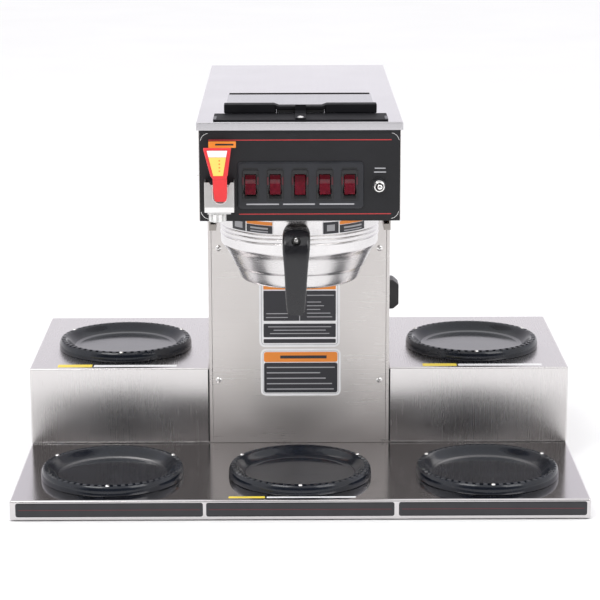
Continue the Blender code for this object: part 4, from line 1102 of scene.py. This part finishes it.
def make_faucet_handle():
    """Red paddle with a raised rim round a two-tone label, an arm, a neck and pivot pins."""
    front = span("faucet_handle")[0].y

    def part(name, bm, material="faucet_red", stands_for=()):
        return store(name, bm, material, "faucet_handle", stands_for)
    paddle = part("faucet_paddle", solid(add_prism, PADDLE, "Y", (front, -39.5), soft=(0.9, 3, 30.0)),
                  stands_for=("faucet_handle",))
    carve(paddle, lambda tool: add_prism(tool, PADDLE_WINDOW, "Y", (front - 2.0, front + 0.5)))
    part("faucet_arm", solid(add_prism, PADDLE_ARM, "Y", (front + 0.35, -41.0), soft=(0.6, 3, 50.0)))
    neck = solid(add_box, (FAUCET_X - 5.7, FAUCET_X + 5.7), (-41.5, -25.2), (343.7, 353.8), soft=(0.8, 3))
    add_lathe(neck, NECK_PIN, NECK_PIVOT, 28, "X")
    part("faucet_neck", neck)
    part("faucet_heel", solid(add_box, (FAUCET_X - 2.2, FAUCET_X + 2.2), (-26.0, -20.6), (344.9, 347.1),
                              soft=(0.4, 2)))
    for name, top, bottom, material in LABEL_PARTS:
        outline = [(label_edge(LABEL_LEFT, bottom), bottom), (label_edge(LABEL_RIGHT, bottom), bottom),
                   (label_edge(LABEL_RIGHT, top), top), (label_edge(LABEL_LEFT, top), top)]
        part(name, solid(add_prism, outline, "Y", (front + 0.3, front + 0.48)), material)
    bm = bmesh.new()
    for height in LABEL_MARKS:
        mark = rounded((-78.9, height), (-77.3, height + 1.6), 0.5, 2)
        add_prism(bm, mark, "Y", (front + 0.24, front + 0.3))
    part("faucet_label_marks", bm, "label_orange")


SPOUT_RIBS = 9
SPOUT_BORE = 2.8
FLUTE_DEPTH = 2.4
FLUTE_SHARE = (0.62, 0.98)


def make_spout():
    """Fluted white outlet with an open bore."""
    low, high = span("faucet_spout")
    outer = half_width("faucet_spout") - 0.1

    def flute(angle, r, h):
        sunk = r >= outer - 1.2 and FLUTE_SHARE[0] < angle * SPOUT_RIBS / (2 * pi) % 1.0 < FLUTE_SHARE[1]
        return r - (FLUTE_DEPTH if sunk else 0.0), h
    profile = [(SPOUT_BORE, low.z), (outer - 3.0, low.z), (outer - 0.9, low.z + 0.15), (outer, low.z + 0.9),
               (outer, high.z), (SPOUT_BORE, high.z)]
    centre = middle("faucet_spout")
    bm = solid(add_lathe, profile, (centre.x, centre.y, 0.0), SPOUT_RIBS * 16, closed=True, shape=flute)
    store("faucet_spout_fluted", bm, "faucet_white", stands_for=("faucet_spout",))


# ---------------------------------------------------------------- funnel
RIDGES = (285.2, 289.9, 294.1)
RIDGE = ((0.0, -1.2), (0.3, -0.7), (0.75, -0.2), (0.75, 0.2), (0.3, 0.7), (0.0, 1.2))
FLANGE_REACH = 4.5
FUNNEL_WALL = 1.5
FUNNEL_OUTSIDE = [(2.8, 234.3), (30.0, 234.35), (44.0, 234.5), (52.0, 234.8), (56.4, 235.3), (58.4, 235.9),
                  (59.8, 236.8), (60.8, 238.1), (61.8, 240.1), (63.2, 243.3), (64.8, 247.0), (65.7, 249.2),
                  (66.2, 250.2), (66.8, 250.9), (67.6, 251.8), (68.3, 253.1), (70.3, 257.2), (72.6, 261.8),
                  (74.9, 266.4), (76.2, 268.6), (77.6, 270.4), (79.0, 272.0), (80.2, 273.5), (81.0, 274.8),
                  (81.4, 276.0)]
FUNNEL_INSIDE = [(79.2, 275.0), (78.0, 273.4), (75.4, 270.6), (72.9, 266.4), (68.4, 257.4), (65.6, 252.2),
                 (64.2, 250.4), (61.4, 244.0), (59.4, 240.4), (57.4, 238.0), (54.4, 236.6), (44.0, 236.1),
                 (2.8, 235.9)]


def funnel_place():
    """Axis, flange radius and radius of the funnel's upper band."""
    centre = middle("brew_funnel")
    flange = half_width("brew_funnel")
    return (centre.x, centre.y), flange, flange - FLANGE_REACH


def make_funnel():
    axis, flange, radius = funnel_place()
    top = span("brew_funnel")[1].z
    profile = FUNNEL_OUTSIDE + [(radius, 277.4)]
    for height in RIDGES:
        profile += [(radius + out, height + up) for out, up in RIDGE]
    profile += [(radius, top - 2.8), (radius + 0.4, top - 2.4), (flange - 0.5, top - 2.4), (flange, top - 1.9),
                (flange, top - 0.5), (flange - 0.5, top), (radius - FUNNEL_WALL + 0.6, top),
                (radius - FUNNEL_WALL, top - 0.6), (radius - FUNNEL_WALL, 277.0)] + FUNNEL_INSIDE
    store("brew_funnel_spun", solid(add_lathe, profile, (*axis, 0.0), 180, closed=True), "funnel_steel",
          "funnel", ("brew_funnel",), smooth=50.0)
    make_funnel_labels(axis, radius)
    make_funnel_handle(axis, flange, radius)


def curved_plate(bm, axis, radius, start, end, z, thickness):
    """A thin patch on a vertical round wall between two angles, from the front and positive to the right."""
    steps = max(4, int(abs(end - start) / 3))
    rings = []
    for step in range(steps + 1):
        angle = radians(start + (end - start) * step / steps)
        corners = ((radius, z[0]), (radius + thickness, z[0]), (radius + thickness, z[1]), (radius, z[1]))
        rings.append([(axis[0] + r * sin(angle), axis[1] - r * cos(angle), h) for r, h in corners])
    add_loft(bm, rings)


FUNNEL_LABEL_Z = (295.6, 308.6)
# side, then the angles where it starts, ends and is parted
FUNNEL_LABELS = (("left", -57.0, -19.0, -41.5), ("right", 16.0, 54.0, 29.0))


def make_funnel_labels(axis, radius):
    """A pair of generic plates on the funnel's upper band, one on each side of the handle."""
    low, high = FUNNEL_LABEL_Z
    for side, start, end, split in FUNNEL_LABELS:
        text = (split + 4.0, end - 4.0)
        parts = (("field", "label_white", "funnel_steel", 0.0, 0.1, ((start, end, low, high),)),
                 ("blocks", "label_dark", "black_plastic", 0.1, 0.08,
                  ((start + 0.7, split - 0.5, low + 0.6, high - 0.6),
                   (split + 0.5, end - 0.7, low + 0.6, high - 4.4))),
                 ("heading", "label_orange", "faucet_red", 0.1, 0.08,
                  ((split + 0.5, end - 0.7, high - 4.0, high - 0.5),)),
                 ("bars", "label_grey", "faucet_white", 0.18, 0.05,
                  ((*text, low + 1.8, low + 3.0), (*text, low + 4.6, low + 6.4),
                   (start + 3.5, split - 3.5, low + 3.2, high - 3.4))))
        for name, material, finish, lift, thickness, patches in parts:  # patches: two angles, two heights
            bm = bmesh.new()
            for begin, stop, foot, head in patches:
                curved_plate(bm, axis, radius + lift, begin, stop, (foot, head), thickness)
            store("funnel_label_%s_%s" % (side, name), bm, material, "funnel")


# y, z, turn, width, thickness, x of each section along the grip
HANDLE_STATIONS = ((8.0, 297.0, 0.0, 24.0, 16.5, -3.4), (-4.0, 297.5, 0.0, 25.8, 16.8, -3.45),
                   (-12.0, 297.6, 2.0, 26.6, 16.8, -3.5), (-19.0, 297.0, 14.0, 27.1, 16.8, -3.6),
                   (-24.0, 294.4, 36.0, 27.4, 15.6, -3.7), (-27.2, 290.0, 60.0, 27.2, 13.2, -3.8),
                   (-29.0, 284.0, 80.0, 26.4, 11.0, -3.9), (-29.6, 276.0, 90.0, 24.6, 9.8, -4.0),
                   (-29.6, 262.0, 90.0, 22.6, 9.0, -4.1), (-29.6, 247.0, 90.0, 21.0, 8.6, -4.2),
                   (-29.6, 234.0, 90.0, 19.2, 8.2, -4.3), (-29.6, 227.6, 90.0, 17.9, 7.6, -4.3),
                   (-29.6, 224.4, 90.0, 16.6, 6.4, -4.3), (-29.6, 222.9, 90.0, 13.8, 4.2, -4.3))
HANDLE_SCREW = (-3.9, -25.0, 297.0)
SCREW_RECESS = [(0.0, -14.0), (4.6, -14.0), (4.6, 3.0), (3.9, 5.0), (0.0, 5.0)]


def make_funnel_handle(axis, flange, radius):
    """Lofted grip that leaves the funnel forwards, turns down and tapers to a rounded end."""
    rings = []
    for y, z, turn, width, thickness, x in HANDLE_STATIONS:
        corner = min(3.4, thickness / 2 - 0.2)
        section = rounded((-width / 2, -thickness / 2), (width / 2, thickness / 2), corner, 4)
        rings.append([(x + across, y - through * sin(radians(turn)), z + through * cos(radians(turn)))
                      for across, through in section])
    grip = store("funnel_handle_grip", solid(add_loft, rings), "handle_black", "funnel", ("funnel_handle",),
                 smooth=60.0)
    under = span("brew_funnel")[1].z - 2.6
    root = [(0.0, 268.0), (radius + 0.9, 268.0), (radius + 0.9, under), (flange + 0.2, under),
            (flange + 0.2, 325.0), (0.0, 325.0)]
    carve(grip, lambda tool: add_lathe(tool, root, (*axis, 0.0), 120), 40.0)
    x, y, z = HANDLE_SCREW
    carve(grip, lambda tool: add_lathe(tool, SCREW_RECESS, (x, y - 5.0, z), 40, "Y"), 40.0)
    screw("handle_screw", screw_mesh("handle_screw", 3.4, 1.6), HANDLE_SCREW, "front", "funnel", 25)


JET_RINGS = ((9.0, 6), (18.0, 10), (25.5, 14))
JET_RADIUS = 1.1


def make_head_underside():
    dress("funnel_rail_left funnel_rail_right", "rail_steel", 0.3)
    low, high = span("spray_head")
    centre = middle("spray_head")
    outer = half_width("spray_head")
    profile = [(0.0, low.z + 0.2), (28.0, low.z + 0.2), (29.5, low.z), (outer - 0.8, low.z), (outer, low.z + 0.4),
               (outer, low.z + 1.2), (8.2, low.z + 1.5), (8.0, low.z + 1.8), (8.0, high.z), (0.0, high.z)]
    head = store("spray_head_disc", solid(add_lathe, profile, (centre.x, centre.y, 0.0), 72), "black_plastic",
                 stands_for=("spray_head",))

    def jets(tool):
        for radius, count in JET_RINGS:
            for x, y in arc(centre, radius, 180.0 / count, 360.0 + 180.0 / count, count)[:-1]:
                add_rod(tool, JET_RADIUS, (-2.0, 0.9), (x, y, low.z), 10)
    carve(head, jets)


# ---------------------------------------------------------------- rear fittings
INLET_X, INLET_Z = -60.0, 60.0
INLET_PITCH = 1.1
KNURLS = 18


def make_rear():
    low, high = span("inlet_valve")
    panel = span("rear_panel")[1].y
    profile = [(2.8, high.y), (4.9, high.y), (5.6, high.y - 0.6)]
    y = high.y - 1.0
    while y > panel + 5.4:
        profile += [(6.3, y), (5.6, y - INLET_PITCH / 2)]
        y -= INLET_PITCH
    profile += [(5.5, panel + 4.6), (5.5, panel - 8.0), (2.8, panel - 8.0)]
    thread = solid(add_lathe, profile, (INLET_X, 0.0, INLET_Z), 48, "Y", closed=True)
    store("inlet_valve_thread", thread, "brass", stands_for=("inlet_valve",))
    nut = solid(add_prism, hexagon((INLET_X, INLET_Z), 9.0, 90.0), "Y", (panel + 0.2, panel + 4.4),
                soft=(0.5, 2, 50.0))
    store("inlet_valve_nut", nut, "brass")
    block = solid(add_box, (INLET_X - 15.8, INLET_X + 15.8), (low.y + 0.2, panel - 5.6),
                  (low.z + 0.2, high.z - 0.2), soft=(1.5, 3))
    store("inlet_valve_body", block, "hidden_steel")

    low, high = span("power_gland")
    centre = middle("power_gland")
    outer = half_width("power_gland")

    def knurl(angle, r, h):
        return r - (0.25 + 0.25 * cos(angle * KNURLS) if r >= outer - 1.0 else 0.0), h
    profile = [(4.9, high.y - 0.6), (5.5, high.y), (7.9, high.y), (8.7, high.y - 0.6), (outer - 0.2, high.y - 2.2),
               (outer, high.y - 2.8), (outer, panel + 1.0), (outer - 0.3, panel + 0.4), (8.6, panel + 0.3),
               (8.6, low.y), (4.9, low.y)]
    gland = solid(add_lathe, profile, (centre.x, 0.0, centre.z), 180, "Y", closed=True, shape=knurl)
    store("power_gland_nut", gland, "black_plastic", stands_for=("power_gland",))


# ---------------------------------------------------------------- stage, light and camera
STAGE_HALF = 12.0


def make_stage():
    bm = bmesh.new()
    bm.faces.new([bm.verts.new((a * STAGE_HALF, b * STAGE_HALF, 0.0))
                  for a, b in ((-1, -1), (1, -1), (1, 1), (-1, 1))])
    mesh = bpy.data.meshes.new("floor")
    bm.to_mesh(mesh)
    bm.free()
    floor = bpy.data.objects.new("floor", mesh)
    floor.location.z = -0.0005
    nodes = Nodes("floor_pale", (0.93, 0.93, 0.93), 0.9)
    nodes.tones(nodes.noise(nodes.place((3.0, 3.0, 3.0)), 2.0), (0.92, 0.92, 0.92), (0.94, 0.94, 0.94))
    mesh.materials.append(nodes.material)
    bpy.context.scene.collection.objects.link(floor)


ROOM_WALL = (1.18, 1.17, 1.19)
ROOM_BACK_LOW = (1.17, 1.15, 1.20)
ROOM_BACK_HIGH = (0.84, 0.815, 0.87)
ROOM_OVERHEAD = (1.16, 1.16, 1.17)
ROOM_DARK = (0.070, 0.063, 0.062)


class WorldNodes(Nodes):
    """The world's node tree, with the same short ways to add nodes."""

    def __init__(self, world):
        world.use_nodes = True
        self.tree = world.node_tree
        self.tree.nodes.clear()

    def ramp(self, value, start, end):
        node = self.add("MapRange", interpolation_type="SMOOTHSTEP")
        node.inputs["From Min"].default_value = start
        node.inputs["From Max"].default_value = end
        self.link(value, node.inputs["Value"])
        return node.outputs["Result"]


def make_world():
    """A white room with a graded backdrop and a dark doorway low in front."""
    world = bpy.data.worlds.new("studio")
    bpy.context.scene.world = world
    nodes = WorldNodes(world)
    parts = nodes.add("SeparateXYZ")
    nodes.link(nodes.add("TexCoord").outputs["Generated"], parts.inputs["Vector"])
    height, depth = parts.outputs["Z"], parts.outputs["Y"]
    doorway = nodes.join(nodes.ramp(height, 0.60, 0.40), nodes.ramp(depth, -0.45, -0.80), "MULTIPLY")
    backdrop = nodes.blend(nodes.ramp(height, 0.08, 0.28), ROOM_BACK_LOW, ROOM_BACK_HIGH)
    room = nodes.blend(nodes.ramp(depth, 0.10, 0.60), ROOM_WALL, backdrop)
    room = nodes.blend(nodes.ramp(height, 0.50, 0.80), room, ROOM_OVERHEAD)
    room = nodes.blend(doorway, room, ROOM_DARK)
    background = nodes.add("Background")
    nodes.link(room, background.inputs["Color"])
    nodes.link(background.outputs["Background"], nodes.add("OutputWorld").inputs["Surface"])


# name, place, size in metres and power in watts
LIGHTS = (("key", (-1.1, -1.5, 2.2), 1.2, 24.0), ("fill", (1.5, -1.6, 1.6), 1.2, 14.0))
LIT_POINT = Vector((0.0, 0.0, 0.15))


def make_lights():
    for name, place, size, power in LIGHTS:
        data = bpy.data.lights.new(name, "AREA")
        data.shape = "SQUARE"
        data.size = size
        data.energy = power
        light = bpy.data.objects.new(name, data)
        light.location = place
        light.rotation_euler = (LIT_POINT - Vector(place)).to_track_quat("-Z", "Y").to_euler()
        bpy.context.scene.collection.objects.link(light)


CAMERA_SPOT = (-11.9, -2128.0, 725.8)
CAMERA_PITCH = 13.09
CAMERA_YAW = 0.32
CAMERA_ROLL = -0.13
FOCAL_LENGTH = 130.65


def make_camera():
    data = bpy.data.cameras.new("camera")
    data.sensor_width = 36.0
    data.lens = FOCAL_LENGTH
    data.clip_start = 0.05
    data.clip_end = 60.0
    camera = bpy.data.objects.new("camera", data)
    pitch, yaw, roll = radians(CAMERA_PITCH), radians(CAMERA_YAW), radians(CAMERA_ROLL)
    ahead = Vector((sin(yaw) * cos(pitch), cos(yaw) * cos(pitch), -sin(pitch)))
    right = Vector((cos(yaw), -sin(yaw), 0.0))
    up = right.cross(ahead)
    across = cos(roll) * right + sin(roll) * up
    above = -sin(roll) * right + cos(roll) * up
    turn = Matrix((across, above, -ahead)).transposed()
    camera.matrix_world = Matrix.Translation(DATUM + Vector(CAMERA_SPOT) * MM) @ turn.to_4x4()
    bpy.context.scene.collection.objects.link(camera)
    bpy.context.scene.camera = camera


bpy.context.scene.view_settings.view_transform = "Standard"
LOOKS = make_materials()
make_decks()
make_step_joints()
make_deck_strips()
make_warmers()
make_base_marks()
make_feet()
make_trunk()
make_trunk_labels()
make_side_connector()
make_lid()
make_panel()
make_bezel()
make_rockers()
make_start_switch()
make_faucet()
make_funnel()
make_head_underside()
make_rear()
make_stage()
make_world()
make_lights()
make_camera()
